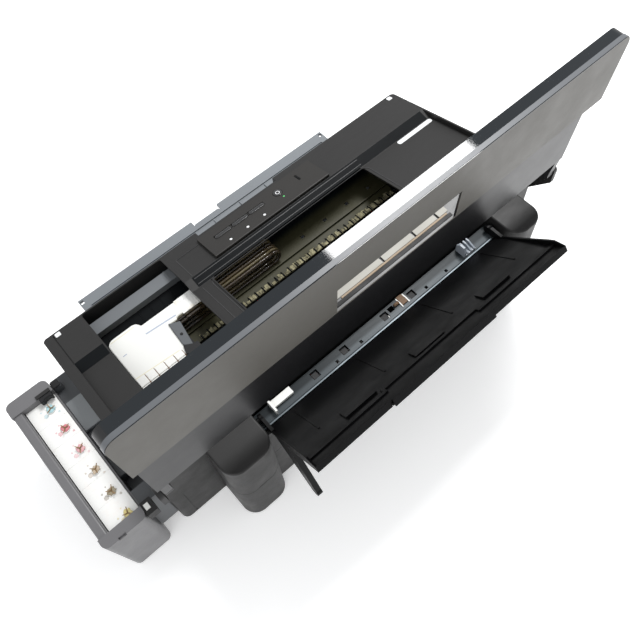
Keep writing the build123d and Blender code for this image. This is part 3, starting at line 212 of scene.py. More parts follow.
def mixed_value(nt, fac, a, b):
    m = nt.nodes.new("ShaderNodeMix")
    nt.links.new(fac, m.inputs[0])
    for value, socket in ((a, m.inputs[2]), (b, m.inputs[3])):
        if isinstance(value, bpy.types.NodeSocket):
            nt.links.new(value, socket)
        else:
            socket.default_value = value
    return m.outputs[0]


def cover_plastic():
    """Glossy cover: satin outer skin whose brownish grey is a painted reflection, polished free edge
    with dust specks, lower panel near black as painted shade and a painted dark reflection.
    """
    m, nt, b = new_material("cover_black")
    pins = (0, HINGE_Y, HINGE_Z)
    out_of = coordinate(nt, (0, cos(LEAN), -sin(LEAN)), pins)
    along = coordinate(nt, (0, sin(LEAN), cos(LEAN)), pins)
    skin = ramp(nt, out_of, 0, 1, 19.1, 19.5)
    edge = ramp(nt, along, 0, 1, 222.4, 223.0)
    slow = noise(nt, 9.0, 3.0)
    dust = noise(nt, 420.0, 3.0, 0.7)
    # painted reflection: the outer skin's brownish grey is a painted brown sheen
    painted_sheen_skin = mix_color(nt, slow.outputs[0], (0.070, 0.066, 0.057), (0.088, 0.083, 0.072))
    # painted shade: the lower panel's near black is a painted dark reflection and shade
    black = mix_color(nt, slow.outputs[0], (0.008, 0.008, 0.009), (0.013, 0.013, 0.014))
    base = mixed(nt, skin, black, painted_sheen_skin)
    specks = ramp(nt, dust.outputs[0], 0, 1, 0.66, 0.78)
    edge_color = mixed(nt, specks, (0.006, 0.009, 0.012), (0.05, 0.055, 0.06))
    nt.links.new(mixed(nt, edge, base, edge_color), b.inputs["Base Color"])
    wipe = noise(nt, 30.0, 4.0, 0.6, (1, 3, 1))
    skin_rough = ramp(nt, wipe.outputs[0], 0.40, 0.50)
    panel_rough = ramp(nt, wipe.outputs[0], 0.33, 0.38)
    rough = mixed_value(nt, skin, panel_rough, skin_rough)
    edge_rough = ramp(nt, dust.outputs[0], 0.03, 0.09, 0.6, 0.8)
    nt.links.new(mixed_value(nt, edge, rough, edge_rough), b.inputs["Roughness"])
    b.inputs["Specular IOR Level"].default_value = 0.5
    fine = noise(nt, 1600.0, 2.0)
    bump(nt, b, fine.outputs[0], 0.04, 0.0001)
    return m


def feed_metal():
    """Brushed feed plate, darker in front of its crease; its lighter rear half is a painted reflection.
    """
    m, nt, b = new_material("feed_silver")
    back = ramp(nt, coordinate(nt, (0, 1, 0), (0, 0, 0)), 0, 1, 280, 284)
    grain = noise(nt, 40.0, 4.0, 0.6, (1, 40, 40))
    front = mix_color(nt, grain.outputs[0], (0.010, 0.013, 0.015), (0.020, 0.025, 0.028))
    # painted reflection: the half behind the crease is lighter
    painted_reflection_rear = mix_color(nt, grain.outputs[0], (0.040, 0.048, 0.053), (0.066, 0.077, 0.084))
    nt.links.new(mixed(nt, back, front, painted_reflection_rear), b.inputs["Base Color"])
    b.inputs["Metallic"].default_value = 0.1
    b.inputs["Specular IOR Level"].default_value = 0.12
    nt.links.new(ramp(nt, grain.outputs[0], 0.28, 0.40), b.inputs["Roughness"])
    bump(nt, b, grain.outputs[0], 0.05, 0.0001)
    return m


def tray_plastic():
    """Black tube tray, olive with old ink mist towards the platen."""
    m, nt, b = new_material("tray_black")
    back = ramp(nt, coordinate(nt, (0, 1, 0), (0, 0, 0)), 0, 1, 62, 72)
    mist = noise(nt, 26.0, 4.0, 0.6)
    olive = mix_color(nt, mist.outputs[0], (0.034, 0.033, 0.017), (0.060, 0.057, 0.030))
    nt.links.new(mixed(nt, back, (0.006, 0.008, 0.010), olive), b.inputs["Base Color"])
    nt.links.new(ramp(nt, mist.outputs[0], 0.34, 0.56), b.inputs["Roughness"])
    b.inputs["Specular IOR Level"].default_value = 0.22
    fine = noise(nt, 1200.0, 2.0)
    bump(nt, b, fine.outputs[0], 0.2, 0.0002)
    return m


def stained_white(name, stain, amount):
    """White plastic that ink has tinted in patches."""
    m, nt, b = new_material(name)
    patch = noise(nt, 55.0, 4.0, 0.65)
    fac = ramp(nt, patch.outputs[0], 0, amount, 0.52, 0.72)
    nt.links.new(mix_color(nt, fac, (0.84, 0.84, 0.82), stain), b.inputs["Base Color"])
    nt.links.new(ramp(nt, patch.outputs[0], 0.34, 0.46), b.inputs["Roughness"])
    fine = noise(nt, 1000.0, 2.0)
    bump(nt, b, fine.outputs[0], 0.08, 0.0002)
    return m


BLACK = (0.0165, 0.0160, 0.0158)
MAT = {
    "case_black": plastic("case_black", BLACK, 0.48, 1100, 0.30, 0.12, spec=0.34, smudge=0.05),
    "gloss_black": plastic("gloss_black", (0.012, 0.012, 0.012), 0.34, 700, 0.05, 0.15, spec=0.4,
                           smudge=0.05),
    "grey_plastic": plastic("grey_plastic", (0.175, 0.190, 0.205), 0.42, 1000, 0.25, 0.06),
    "dark_grey": plastic("dark_grey", (0.045, 0.045, 0.048), 0.5, 1000, 0.3, 0.1),
    "white_plastic": plastic("white_plastic", (0.80, 0.80, 0.77), 0.38, 900, 0.1, 0.03),
    "pale_print": plastic("pale_print", (0.74, 0.75, 0.76), 0.5, 1500, 0.1, 0.03),
    "button_black": plastic("button_black", (0.013, 0.013, 0.014), 0.30, 900, 0.08, 0.1, coat=0.3),
    "lamp_green": plastic("lamp_green", (0.10, 0.55, 0.16), 0.25, 900, 0.0, 0.05, coat=0.5),
    "steel": metal("steel", (0.34, 0.35, 0.37), 0.40),
    "rod_steel": metal("rod_steel", (0.72, 0.72, 0.73), 0.16, (2, 200, 200), 0.03),
    "feed_silver": feed_metal(),
    # painted glint: lighter metal for the strip on the feed plate's rear edge
    "bright_edge": metal("bright_edge", (0.10, 0.115, 0.125), 0.42, (1, 40, 40), 0.04),
    "rubber_dark": rubber("rubber_dark", (0.020, 0.020, 0.021)),
    "rubber_brown": rubber("rubber_brown", (0.16, 0.09, 0.045)),
    "foam": felt("foam", (0.40, 0.37, 0.23), (0.02, 0.016, 0.008)),
    "belt_rubber": rubber("belt_rubber", (0.03, 0.03, 0.03)),
    "tube_clear": clear_tube("tube_clear", (0.125, 0.090, 0.045), (0.040, 0.028, 0.014)),
    "tank_grey": plastic("tank_grey", (0.138, 0.136, 0.141), 0.36, 900, 0.15, 0.1, smudge=0.05),
    "tank_white": stained_white("tank_white", (0.80, 0.66, 0.60), 0.25),
    "gear_white": plastic("gear_white", (0.72, 0.70, 0.62), 0.4, 900, 0.05, 0.05),
    "board_green": plastic("board_green", (0.03, 0.16, 0.07), 0.35, 600, 0.1, 0.1),
    "zinc": metal("zinc", (0.55, 0.56, 0.58), 0.3),
    "strip_clear": plastic("strip_clear", (0.55, 0.55, 0.55), 0.2, 900, 0.0, 0.03),
    "cream": stained_white("cream", (0.55, 0.40, 0.16), 0.55),
    # darker cream for fine lines on the lid, and painted shade on the lid's steep faces
    "cream_edge": plastic("cream_edge", (0.74, 0.70, 0.54), 0.42, 900, 0.1, 0.06),
    "slot_blue": plastic("slot_blue", (0.40, 0.45, 0.55), 0.5, 900, 0.1, 0.05),
    "residue": rubber("residue", (0.20, 0.10, 0.045), 0.8),
    "bracket_grey": plastic("bracket_grey", (0.085, 0.092, 0.10), 0.42, 900, 0.2, 0.1),
    "bracket_dark": plastic("bracket_dark", (0.010, 0.010, 0.011), 0.5, 900, 0.2, 0.1, spec=0.3),
    "rail_grey": plastic("rail_grey", (0.135, 0.145, 0.155), 0.40, 900, 0.1, 0.06),
    # painted light: lighter grey for the lit top of the bridge's steps
    "bridge_light": plastic("bridge_light", (0.24, 0.255, 0.265), 0.44, 900, 0.2, 0.08),
    "bridge_grey": plastic("bridge_grey", (0.075, 0.080, 0.086), 0.44, 900, 0.2, 0.08),
    "panel_black": plastic("panel_black", (0.020, 0.0185, 0.017), 0.44, 1100, 0.2, 0.1, spec=0.36),
    "support_black": plastic("support_black", (0.003, 0.003, 0.0033), 0.36, 900, 0.12, 0.2, spec=0.14,
                             smudge=0.06),
    "bead_grey": plastic("bead_grey", (0.115, 0.122, 0.132), 0.30, 900, 0.05, 0.06, spec=0.35),
    "guide_grey": plastic("guide_grey", (0.28, 0.31, 0.35), 0.36, 900, 0.1, 0.1),
    "ledge_cream": plastic("ledge_cream", (0.34, 0.33, 0.29), 0.45, 900, 0.1, 0.2),
    # painted reflection: tan for the strip along the ledge's rear edge
    "ledge_tan": plastic("ledge_tan", (0.30, 0.22, 0.14), 0.5, 900, 0.1, 0.2),
    # lighter grey for lips and fine lines, partly a painted highlight on their rims
    "lip_grey": plastic("lip_grey", (0.034, 0.034, 0.035), 0.38, 900, 0.1, 0.1),
    "skirt_black": plastic("skirt_black", (0.004, 0.005, 0.006), 0.5, 900, 0.2, 0.1, spec=0.08),
    "tray_black": tray_plastic(),
    "cover_black": cover_plastic(),
    "tube_dark": clear_tube("tube_dark", (0.055, 0.038, 0.022), (0.022, 0.015, 0.009)),
    "tube_olive": clear_tube("tube_olive", (0.150, 0.120, 0.060), (0.060, 0.045, 0.022)),
}
plug_colors = [(0.46, 0.68, 0.72), (0.76, 0.25, 0.28), (0.82, 0.44, 0.46), (0.58, 0.46, 0.34),
               (0.34, 0.28, 0.19), (0.74, 0.62, 0.26)]
for k, c in enumerate(plug_colors, 1):
    MAT[f"plug_{k}"] = rubber(f"plug_{k}", c, 0.5)
    MAT[f"stain_{k}"] = rubber(f"stain_{k}", [0.55 * v + 0.42 for v in c], 0.6)
MAT["stem"] = rubber("stem", (0.30, 0.19, 0.09), 0.5)

finish_of = {
    "front_rail": "rail_grey", "tank_bridge": "bridge_grey", "control_panel": "panel_black",
    "paper_support": "support_black", "cover": "cover_black", "cover_bead": "bead_grey",
    "edge_guide": "guide_grey", "tube_tray": "tray_black", "support_extension": "support_black",
    "star_wheels": "tray_black",
}
slot_of = {s["node"]: s["material_slot"] for s in frame["record"]["subparts"]}
for node, name in slot_of.items():
    o = bpy.data.objects[node]
    o.data.materials.clear()
    o.data.materials.append(MAT[finish_of.get(node, name)])


# Pieces
class Kit:
    """Collects shapes in working-frame millimetres and makes one piece of them."""

    def __init__(self):
        self.bm = bmesh.new()

    def shape(self, verts, faces, mat=0, bevel=0.0, deck=False, smooth=False):
        if deck:
            verts = [(x, y, FRONT_Z + SLOPE * y + z) for x, y, z in verts]
        vs = [self.bm.verts.new(at(*v)) for v in verts]
        fs = [self.bm.faces.new([vs[i] for i in f]) for f in faces]
        for f in fs:
            f.material_index = mat
            f.smooth = smooth
        bmesh.ops.recalc_face_normals(self.bm, faces=fs)
        if bevel:
            edges = {e for f in fs for e in f.edges if e.is_manifold and e.calc_face_angle(0) > 0.5}
            bmesh.ops.bevel(self.bm, geom=list(edges), offset=bevel / 1000, segments=2, affect="EDGES",
                             material=mat)
        return fs

    def prism(self, first, last, mat, bevel, deck=False):
        n = len(first)
        faces = [list(range(n)), list(range(n, 2 * n))]
        faces += [[k, (k + 1) % n, n + (k + 1) % n, n + k] for k in range(n)]
        self.shape(first + last, faces, mat, bevel, deck)

    def plan(self, points, z0, z1, mat=0, bevel=0.0, deck=False):
        """Upright prism over an outline seen from above."""
        first, last = ([(x, y, z) for x, y in points] for z in (z0, z1))
        self.prism(first, last, mat, bevel, deck)

    def side(self, points, x0, x1, mat=0, bevel=0.0):
        """Prism along the width over an outline in depth and height."""
        first, last = ([(x, y, z) for y, z in points] for x in (x0, x1))
        self.prism(first, last, mat, bevel)

    def block(self, x0, x1, y0, y1, z0, z1, mat=0, bevel=0.4, deck=False):
        self.plan([(x0, y0), (x1, y0), (x1, y1), (x0, y1)], z0, z1, mat, bevel, deck)

    def band(self, near, far, z0, z1, mat=0):
        """Closed band between two outlines, from one height to the other, on the deck."""
        n = len(near)
        verts = [(x, y, z) for z in (z0, z1) for line in (near, far) for x, y in line]
        faces = []
        for k in range(n):
            j = (k + 1) % n
            faces += [[k, j, n + j, n + k], [2 * n + k, 3 * n + k, 3 * n + j, 2 * n + j],
                      [k, 2 * n + k, 2 * n + j, j], [n + k, n + j, 3 * n + j, 3 * n + k]]
        self.shape(verts, faces, mat, deck=True)

    def tube(self, points, r, sides=10, mat=0, ends=True):
        """Round bar along points that lie in one upright plane or run up."""
        verts, n = [], len(points)
        pts = [Vector(p) for p in points]
        for k, p in enumerate(pts):
            t = (pts[min(k + 1, n - 1)] - pts[max(k - 1, 0)]).normalized()
            a = Vector((0, 1, 0)) if abs(t.y) < 0.9 else Vector((1, 0, 0))
            u = t.cross(a).normalized()
            v = t.cross(u)
            rr = r[k] if isinstance(r, (list, tuple)) else r
            for s in range(sides):
                w = 2 * pi * s / sides
                verts.append(tuple(p + u * rr * cos(w) + v * rr * sin(w)))
        faces = [[k * sides + s, k * sides + (s + 1) % sides, (k + 1) * sides + (s + 1) % sides,
                  (k + 1) * sides + s] for k in range(n - 1) for s in range(sides)]
        if ends:
            faces += [list(range(sides)), list(range((n - 1) * sides, n * sides))]
        fs = self.shape(verts, faces, mat, smooth=True)
        for f in fs[-2:] if ends else []:
            f.smooth = False

    def dome(self, outline, z0, rings, mat=0, deck=False):
        """Crowned cap: rings of (height, inset share towards the middle) over an outline."""
        n = len(outline)
        cx, cy = sum(p[0] for p in outline) / n, sum(p[1] for p in outline) / n
        verts = [(x, y, z0) for x, y in outline]
        for h, share in rings:
            verts += [(x + (cx - x) * share, y + (cy - y) * share, z0 + h) for x, y in outline]
        m = len(rings) + 1
        faces = [[r * n + k, r * n + (k + 1) % n, (r + 1) * n + (k + 1) % n, (r + 1) * n + k]
                 for r in range(m - 1) for k in range(n)]
        faces += [list(range(n)), list(range((m - 1) * n, m * n))]
        self.shape(verts, faces, mat, deck=deck, smooth=True)

    def done(self, name, body, slot, mats, stands_for=()):
        mesh = bpy.data.meshes.new(name)
        self.bm.to_mesh(mesh)
        self.bm.free()
        o = bpy.data.objects.new(name, mesh)
        bpy.context.scene.collection.objects.link(o)
        for m in mats:
            mesh.materials.append(MAT[m])
        if body:
            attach(o, body)
        if stands_for:
            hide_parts(*stands_for)
        return o


def round_rect(x0, x1, y0, y1, r, steps=6):
    """Outline of a rectangle with round corners, seen from above."""
    out = []
    for cx, cy, a0 in ((x1 - r, y1 - r, 0), (x0 + r, y1 - r, 90),
                       (x0 + r, y0 + r, 180), (x1 - r, y0 + r, 270)):
        for k in range(steps + 1):
            a = radians(a0 + 90 * k / steps)
            out.append((cx + r * cos(a), cy + r * sin(a)))
    return out


def circle(x, y, r, sides=24):
    return [(x + r * cos(2 * pi * k / sides), y + r * sin(2 * pi * k / sides)) for k in range(sides)]


def splat(x, y, r, rng, sides=18):
    """Uneven outline of a drop of ink."""
    return [(x + r * f * cos(2 * pi * k / sides), y + r * f * sin(2 * pi * k / sides))
            for k in range(sides) for f in (rng.uniform(0.72, 1.12),)]


# Ink tubes: lower run, half turn and upper run, six abreast
TUBE_Y, PITCH, TUBE_R, LOW_Z, BEND = 81.0, 5.3, 2.05, 102.2, 11.9
UNIT_X, TURN_X, CAR_X = 334.3, 8.0, 151.0     # ends of the runs at the tank unit, turn, carriage
tube_mats = ["tube_clear", "tube_dark", "tube_olive"]


def tube_rows(points_of):
    kit = Kit()
    for k in range(6):
        y = TUBE_Y + (k - 2.5) * PITCH
        kit.tube(points_of(y, k), TUBE_R, 12, (0, 2, 1, 0, 2, 1)[k])
    return kit


def low_run(y, k):
    n = 30
    return [(TURN_X + (UNIT_X - TURN_X) * s / n, y + 0.12 * sin(s * 0.9 + k), LOW_Z)
            for s in range(n + 1)]


def half_turn(y, k):
    n = 18
    return [(TURN_X - BEND * sin(pi * s / n), y, LOW_Z + BEND - BEND * cos(pi * s / n))
            for s in range(n + 1)]


def high_run(y, k):
    n = 14
    return [(TURN_X + (CAR_X - TURN_X) * s / n, y + 0.12 * sin(s * 0.8 + 2 * k) * (s < n),
             LOW_Z + 2 * BEND) for s in range(n + 1)]


for name, points_of, x_start, x_end in (("tubes_lower", low_run, UNIT_X, 2 * TURN_X - UNIT_X),
                                        ("tubes_upper", high_run, 2 * TURN_X - CAR_X, CAR_X)):
    o = tube_rows(points_of).done(name, None, "tube_clear", tube_mats, ["ink_tubes"])
    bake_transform(o)

# The turn moves half as far as the carriage
o = tube_rows(half_turn).done("tubes_turn", None, "tube_clear", tube_mats, ["ink_tubes"])
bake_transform(o)

# Carriage with its white lid, the tube channel and the dark bracket
kit = Kit()
lid = [(151, 66), (202.2, 65.6), (203.2, 62.8), (206, 58.6), (211, 57)]
lid += [(240 + 10 * cos(radians(a)), 67 + 10 * sin(radians(a))) for a in range(-90, 1, 15)]
lid += [(250, 137.2), (179.2, 137.2), (178.2, 126), (175.8, 97), (173.6, 89.4), (163.4, 89.6),
        (160, 86.4), (151, 86.4)]
kit.plan(lid, 110.2, 130, 0, 0.7)
# painted shade: the lid's steep faces take a darker cream than its top
for f in kit.bm.faces:
    if f.normal.z < 0.35:
        f.material_index = 1
back = [(150, 134), (180, 134), (183, 130), (183, 106), (162, 104)]
under = [(120, 104), (114, 110)]
kit.side([(97.4, 110), (97.4, 118), (150, 118)] + back + under, 165, 176, 3, 0.4)
kit.side([(138, 108), (138, 118), (150, 118)] + back, 151, 164.8, 3, 0.4)
kit.side([(137.4, 109), (137.4, 124), (150, 124)] + back + under, 176.2, 250, 0, 0.4)
kit.block(190, 214, 182, 188.4, 115, 119.9, 0, 0.4)
kit.block(190, 214, 187.2, 188.4, 119, 127, 0, 0.3)
kit.plan([(160, 82.6), (204.4, 78.9), (204.4, 80.8), (160, 84.5)], 129.9, 130.16, 2, 0.05)
kit.block(238, 243.5, 86, 87.2, 129.9, 130.10, 2, 0.03)
kit.plan([(186, 126.9), (249.4, 121.9), (249.4, 123.1), (186, 128.1)], 129.9, 130.14, 1, 0.04)
kit.plan(round_rect(210, 246, 60.5, 61.5, 0.4, 2), 129.9, 130.12, 1)
for k in range(3, 6):
    y = TUBE_Y - 2.5 * PITCH + k * PITCH
    kit.tube([(150.6, y, 126 - TUBE_R), (164, y, 126 - TUBE_R)], TUBE_R, 12, 4, False)
kit.done("carriage_body", "carriage", "white_plastic",
         ["white_plastic", "cream_edge", "slot_blue", "bracket_dark", "tube_dark"], ["carriage"])

kit = Kit()
edges = (250.0, 237.1, 224.1, 210.0, 196.0, 183.6)
for a, b in zip(edges[1:], edges):
    skew = 0.08 * (250 - b)
    kit.plan([(a + 0.6, 124.6 + skew), (b - 0.3, 124.3 + skew), (b - 0.3, 137.6), (a + 0.6, 137.6)],
             129.6, 131.2, 0, 0.4)
    kit.block(a + 0.6, b - 0.3, 137.8, 149.6, 124, 130.4, 0, 0.6)
    kit.block(a - 0.2, a + 0.7, 124.8 + skew, 149.0, 129.0, 130.5, 1, 0.1)
kit.plan([(161.5, 95.5), (175.6, 88.5), (178.6, 125.6), (168.8, 135.6)], 130.1, 132.3, 2, 0.5)
kit.block(165.2, 177.2, 99, 133, 118.1, 130.05, 3, 0.4)
kit.block(164, 178, 138.2, 149.4, 124, 131.2, 3, 0.6)
kit.plan([(161.5, 133.0), (166.5, 133.6), (179.0, 126.2), (183.0, 138.2), (176, 147.6), (161.5, 144)],
         130.2, 133.4, 3, 0.6)
kit.dome(circle(171, 112, 2.0, 14), 132.3, [(0.3, 0.0), (0.5, 0.4)], 3)
kit.done("joint_row", "carriage", "white_plastic",
         ["white_plastic", "residue", "bracket_grey", "bracket_dark"], ["ink_joints"])

kit = Kit()
for a, b, h in ((66.4, 71.5, 129.7), (71.5, 88.5, 129.4)):
    kit.side([(a, 128.5), (b, 128.5), (b, h), (a, h + 0.2)], 119.5, 151.4, 0, 0.25)
kit.side([(65.0, 121), (66.4, 121), (66.4, 129.9), (65.0, 129.9)], 117.0, 151.4, 0, 0.3)
for x in (126, 134, 142):
    kit.block(x, x + 1.2, 66.5, 88.4, 129.3, 130.0, 0, 0.2)
kit.done("tube_channel", "carriage", "white_plastic", ["cream"])

# Folded skirt between the front rail and the tube tray
kit = Kit()
kit.side([(29.2, 105.6), (53.4, 96.6), (53.4, 97.7), (29.2, 107.0)], -286, 286, 0, 0.2)
for k in range(34):
    x = -280 + 16.8 * k
    kit.side([(30.5, 106.3), (52.6, 98.0), (52.6, 98.9), (30.5, 107.2)], x, x + 1.4, 0, 0.2)
kit.done("rail_skirt", "case", "case_black", ["skirt_black"])

# Felt: rows of cut blocks between the platen's ribs, and the frayed strip on the exit bar
rng = random.Random(7)


def frayed(kit, x0, x1, y0, y1, low, high, cells, mat=0):
    """Block of felt with a torn upper face."""
    nx, ny = cells
    verts, faces = [], []
    for j in range(ny + 1):
        for i in range(nx + 1):
            dx = 0 if i in (0, nx) else rng.uniform(-0.15, 0.15)
            dy = rng.uniform(-0.5, 0.5) if j in (0, ny) else rng.uniform(-0.3, 0.3)
            verts.append((x0 + (x1 - x0) * i / nx + dx, y0 + (y1 - y0) * j / ny + dy,
                          high - rng.uniform(0, 1) ** 2 * 0.6 * (high - low)))
    top = len(verts)
    verts += [(x0 + (x1 - x0) * i / nx, y0 + (y1 - y0) * j / ny, low)
              for j in range(ny + 1) for i in range(nx + 1)]
    row = nx + 1
    for j in range(ny):
        for i in range(nx):
            a = j * row + i
            faces.append([a, a + 1, a + row + 1, a + row])
            faces.append([top + a, top + a + row, top + a + row + 1, top + a + 1])
    for i in range(nx):
        faces.append([i, top + i, top + i + 1, i + 1])
        a = ny * row + i
        faces.append([a, a + 1, top + a + 1, top + a])
    for j in range(ny):
        a, b = j * row, (j + 1) * row
        faces.append([a, b, top + b, top + a])
        faces.append([a + nx, top + a + nx, top + b + nx, b + nx])
    kit.shape(verts, faces, mat)


kit = Kit()
pitch = 348 / 30
for k in range(30):
    x = -199 + k * pitch
    frayed(kit, x + 1.2, x + pitch - 1.2, 123.8, 167.7, 88, 92.6 - (k % 3) * 0.4, (4, 16))
kit.done("platen_felt", "case", "foam", ["foam"], ["platen_foam"])

kit = Kit()
x = -196.0
while x < 150:
    w = rng.uniform(1.6, 6.0)
    y = 112.0 + rng.uniform(-1.0, 4.5)
    high = 102.3 - rng.uniform(0, 0.8)
    frayed(kit, x, min(x + w, 156), y, 120.4, 100.3, high, (max(2, int(w / 1.2)), 5))
    x += w + rng.choice((0.15, 0.3, 0.5, 1.8))
kit.done("exit_felt", "case", "foam", ["foam"])
kit = Kit()
for k in range(31):
    x = -199 + k * 11.6
    kit.side([(110.4, 100.3), (120.6, 100.3), (120.6, 103.0), (115.0, 102.8)], x, x + 1.7, 0, 0.2)
kit.done("exit_ribs", "case", "case_black", ["skirt_black"])

# Filler plugs with their pull tabs, and the ink that has run beside them
rng = random.Random(11)
PLUG_X, PLUG_Y, PLUG_STEP, PLUG_Z = 347.0, 85.8, 33.2, 132.0
for k in range(1, 7):
    xk, yk, z = PLUG_X, PLUG_Y + PLUG_STEP * (k - 1), PLUG_Z
    kit = Kit()
    kit.dome(circle(xk, yk, 4.6, 20), 124.6, [(7.3, 0.0)], 0)
    kit.dome(splat(xk, yk, 5.6, rng, 20), z + 0.15, [(0.5, 0.0), (1.1, 0.15), (1.5, 0.5)], 0)
    turn = radians(20 + 17 * k)
    for a, length, lift in ((0, 7.0, 2.6), (125, 6.2, 3.4), (235, 5.4, 3.0)):
        ca, sa = cos(turn + radians(a)), sin(turn + radians(a))
        kit.tube([(xk, yk, z + 1.5),
                  (xk + ca * length * 0.5, yk + sa * length * 0.5, z + 1.6 + lift * 0.4),
                  (xk + ca * length, yk + sa * length, z + 1.9 + lift)], [0.85, 0.65, 0.5], 8, 1)
    kit.done(f"plug_piece_{k}", f"tank_plug_{k}", f"plug_{k}", [f"plug_{k}", "stem"], [f"tank_plug_{k}"])

rng = random.Random(23)
kit = Kit()
for k in range(1, 7):
    yk = PLUG_Y + PLUG_STEP * (k - 1)
    for dx, dy, r in ((8.5, 2.5, 3.2), (-6.5, 8.0, 1.6), (11.5, -3.5, 1.3), (4.0, -9.5, 1.0)):
        x, y = PLUG_X + dx + rng.uniform(-1, 1), yk + dy + rng.uniform(-1.5, 1.5)
        kit.dome(splat(x, y, r, rng), 130.02, [(0.08, 0.08), (0.14, 0.4)], k - 1)
kit.done("ink_marks", "case", "pale_print", [f"stain_{k}" for k in range(1, 7)])
kit = Kit()
for k in range(1, 6):
    y = 70 + k * 187 / 6
    seam = [(y - 0.28, 126), (y + 0.28, 126), (y + 0.28, 129.8), (y - 0.28, 129.8)]
    kit.side(seam, 335.2, 373.6, 0, 0.05)
kit.done("tank_seams", "case", "tank_white", ["tank_white"])

# Black lever block at the front cap, and a lighter grey plate on the bridge's steps that is a painted
# lit top
kit = Kit()
kit.plan([(335, 69.8), (351.5, 69.8), (351.5, 77), (347, 77), (345.6, 75), (338.5, 75), (336.6, 77.4),
          (335, 77.4)], 132.15, 140.9, 0, 0.6)
kit.block(321.6, 331.8, 55.2, 65.8, 130.05, 132.2, 0, 0.8)
kit.done("lever_block", "case", "case_black", ["bracket_dark"])
kit = Kit()
kit.plan(round_rect(309.2, 331.4, 86.5, 133.2, 1.5, 3), 121.04, 122.2, 0, 0.4)
kit.done("bridge_painted_lit_top", "case", "dark_grey", ["bridge_light"])

# Panel: domed buttons, power button with its ring, lamps, and the dark window in the bar
BUTTON_Y, FACE = 35.0, 5.0        # row of the buttons, and the panel's face above the slope
POWER_X, POWER_Y = -54.0, 34.0
BUTTON_X = {"button_right": 41.8, "button_middle": 13.0, "button_left": -15.8}
for name, x in BUTTON_X.items():
    kit = Kit()
    kit.dome(round_rect(x - 13.4, x + 13.4, BUTTON_Y - 3.0, BUTTON_Y + 3.0, 2.9, 5), FACE - 1.1,
             [(1.5, 0.0), (1.9, 0.06), (2.1, 0.3)], 0, deck=True)
    kit.done(name + "_cap", name, "button_black", ["button_black"], [name])
kit = Kit()
kit.dome(circle(POWER_X, POWER_Y, 6.6, 32), FACE - 1.1, [(1.5, 0.0), (1.9, 0.08), (1.6, 0.5)], 0,
         deck=True)
outer_ring, inner_ring = (circle(POWER_X, POWER_Y, r, 28) for r in (3.3, 2.3))
kit.band(outer_ring, inner_ring, FACE + 0.66, FACE + 0.3, 1)
kit.done("power_cap", "power_button", "button_black", ["button_black", "pale_print"], ["power_button"])

kit = Kit()
for x in BUTTON_X.values():
    kit.dome(circle(x, 53.2, 2.0, 18), FACE - 0.7, [(0.7, 0.0), (0.85, 0.3)], 0, deck=True)
kit.dome(circle(-55.5, 46.3, 1.4, 16), FACE - 0.7, [(0.75, 0.0), (0.95, 0.4)], 1, deck=True)
for x in (288.0, -296.0):
    kit.plan(round_rect(x - 3.8, x + 3.8, 2.4, 9.7, 1.4, 3), -0.9, 0.06, 0, 0, deck=True)
kit.plan(round_rect(-302, -236, 81.6, 89.4, 3.0, 5), -7.98, -7.4, 0, 0, deck=True)
kit.done("pale_marks", "case", "pale_print", ["pale_print", "lamp_green"], ["inlays"])

kit = Kit()
window = round_rect(-93.5, -89.7, 27.2, 38.8, 1.8, 4)
kit.dome(window, FACE - 1.6, [(1.75, 0.0), (1.85, 0.1)], 0, deck=True)
kit.done("panel_window", "case", "button_black", ["support_black"])


def lip(kit, outline, width, low, high):
    """Raised lip of even width outside an outline on the deck."""
    n = len(outline)
    cx, cy = sum(p[0] for p in outline) / n, sum(p[1] for p in outline) / n
    pts = [Vector(p) for p in outline]
    outer = []
    for k in range(n):
        a, b, c = pts[k - 1], pts[k], pts[(k + 1) % n]
        t = ((b - a).normalized() + (c - b).normalized()).normalized()
        nrm = Vector((t.y, -t.x))
        if nrm.dot(b - Vector((cx, cy))) < 0:
            nrm = -nrm
        outer.append(b + nrm * width)
    kit.band(outline, [tuple(p) for p in outer], low, high)


def deck_z(y, dz):
    return FRONT_Z + SLOPE * y + dz


# Black skin of the sloping band behind the front strip, a painted shade where the panel's ledge shades
# it, with two fine lines before the bay
kit = Kit()
y0, y1, fall = STRIP_D + 0.4, STRIP_D + BAND_D - 0.6, RECESS / BAND_D
profile = [(y, deck_z(y, -fall * (y - STRIP_D) + dz))
           for y, dz in ((y0, -0.3), (y0, 0.3), (y1, 0.3), (y1, -0.3))]
for a, b in ((-300, 116), (253, 300)):
    kit.side(profile, a, b, 0, 0.1)
for y in (67.6, 75.8):
    z = deck_z(y, -fall * (y - STRIP_D))
    line = [(y - 0.45, z), (y - 0.45, z + 0.75), (y + 0.45, z + 0.45), (y + 0.45, z)]
    kit.side(line, -172, 114, 1, 0.1)
kit.done("band_painted_shade", "case", "case_black", ["skirt_black", "lip_grey"])

# Raised lip round the bay, and fine lines beside the carriage opening; their lighter grey is partly a
# painted highlight on the rims
kit = Kit()
lip(kit, round_rect(-174.5, 99.5, 82.5, 210.0, 9, 6), 0.9, -8.05, -7.45)
kit.block(112.6, 113.6, 84, 205, -8.05, -7.5, 0, 0.1, deck=True)
kit.block(112.6, 113.6, 22, 63.2, -0.05, 0.4, 0, 0.1, deck=True)
kit.block(76.5, 112.6, 21.4, 22.2, -0.05, 0.4, 0, 0.1, deck=True)
kit.done("bay_lip", "case", "case_black", ["lip_grey"])

# Rear edge strip of the feed plate in lighter metal, a painted glint, and white pads on the ledge inside
# the cover's window, with a tan strip that is a painted reflection
kit = Kit()
kit.side([(290.9, 168.03), (292.5, 168.03), (292.5, 168.3), (290.9, 168.3)], -205, 178, 0, 0.05)
kit.done("plate_painted_glint", "case", "feed_silver", ["bright_edge"])


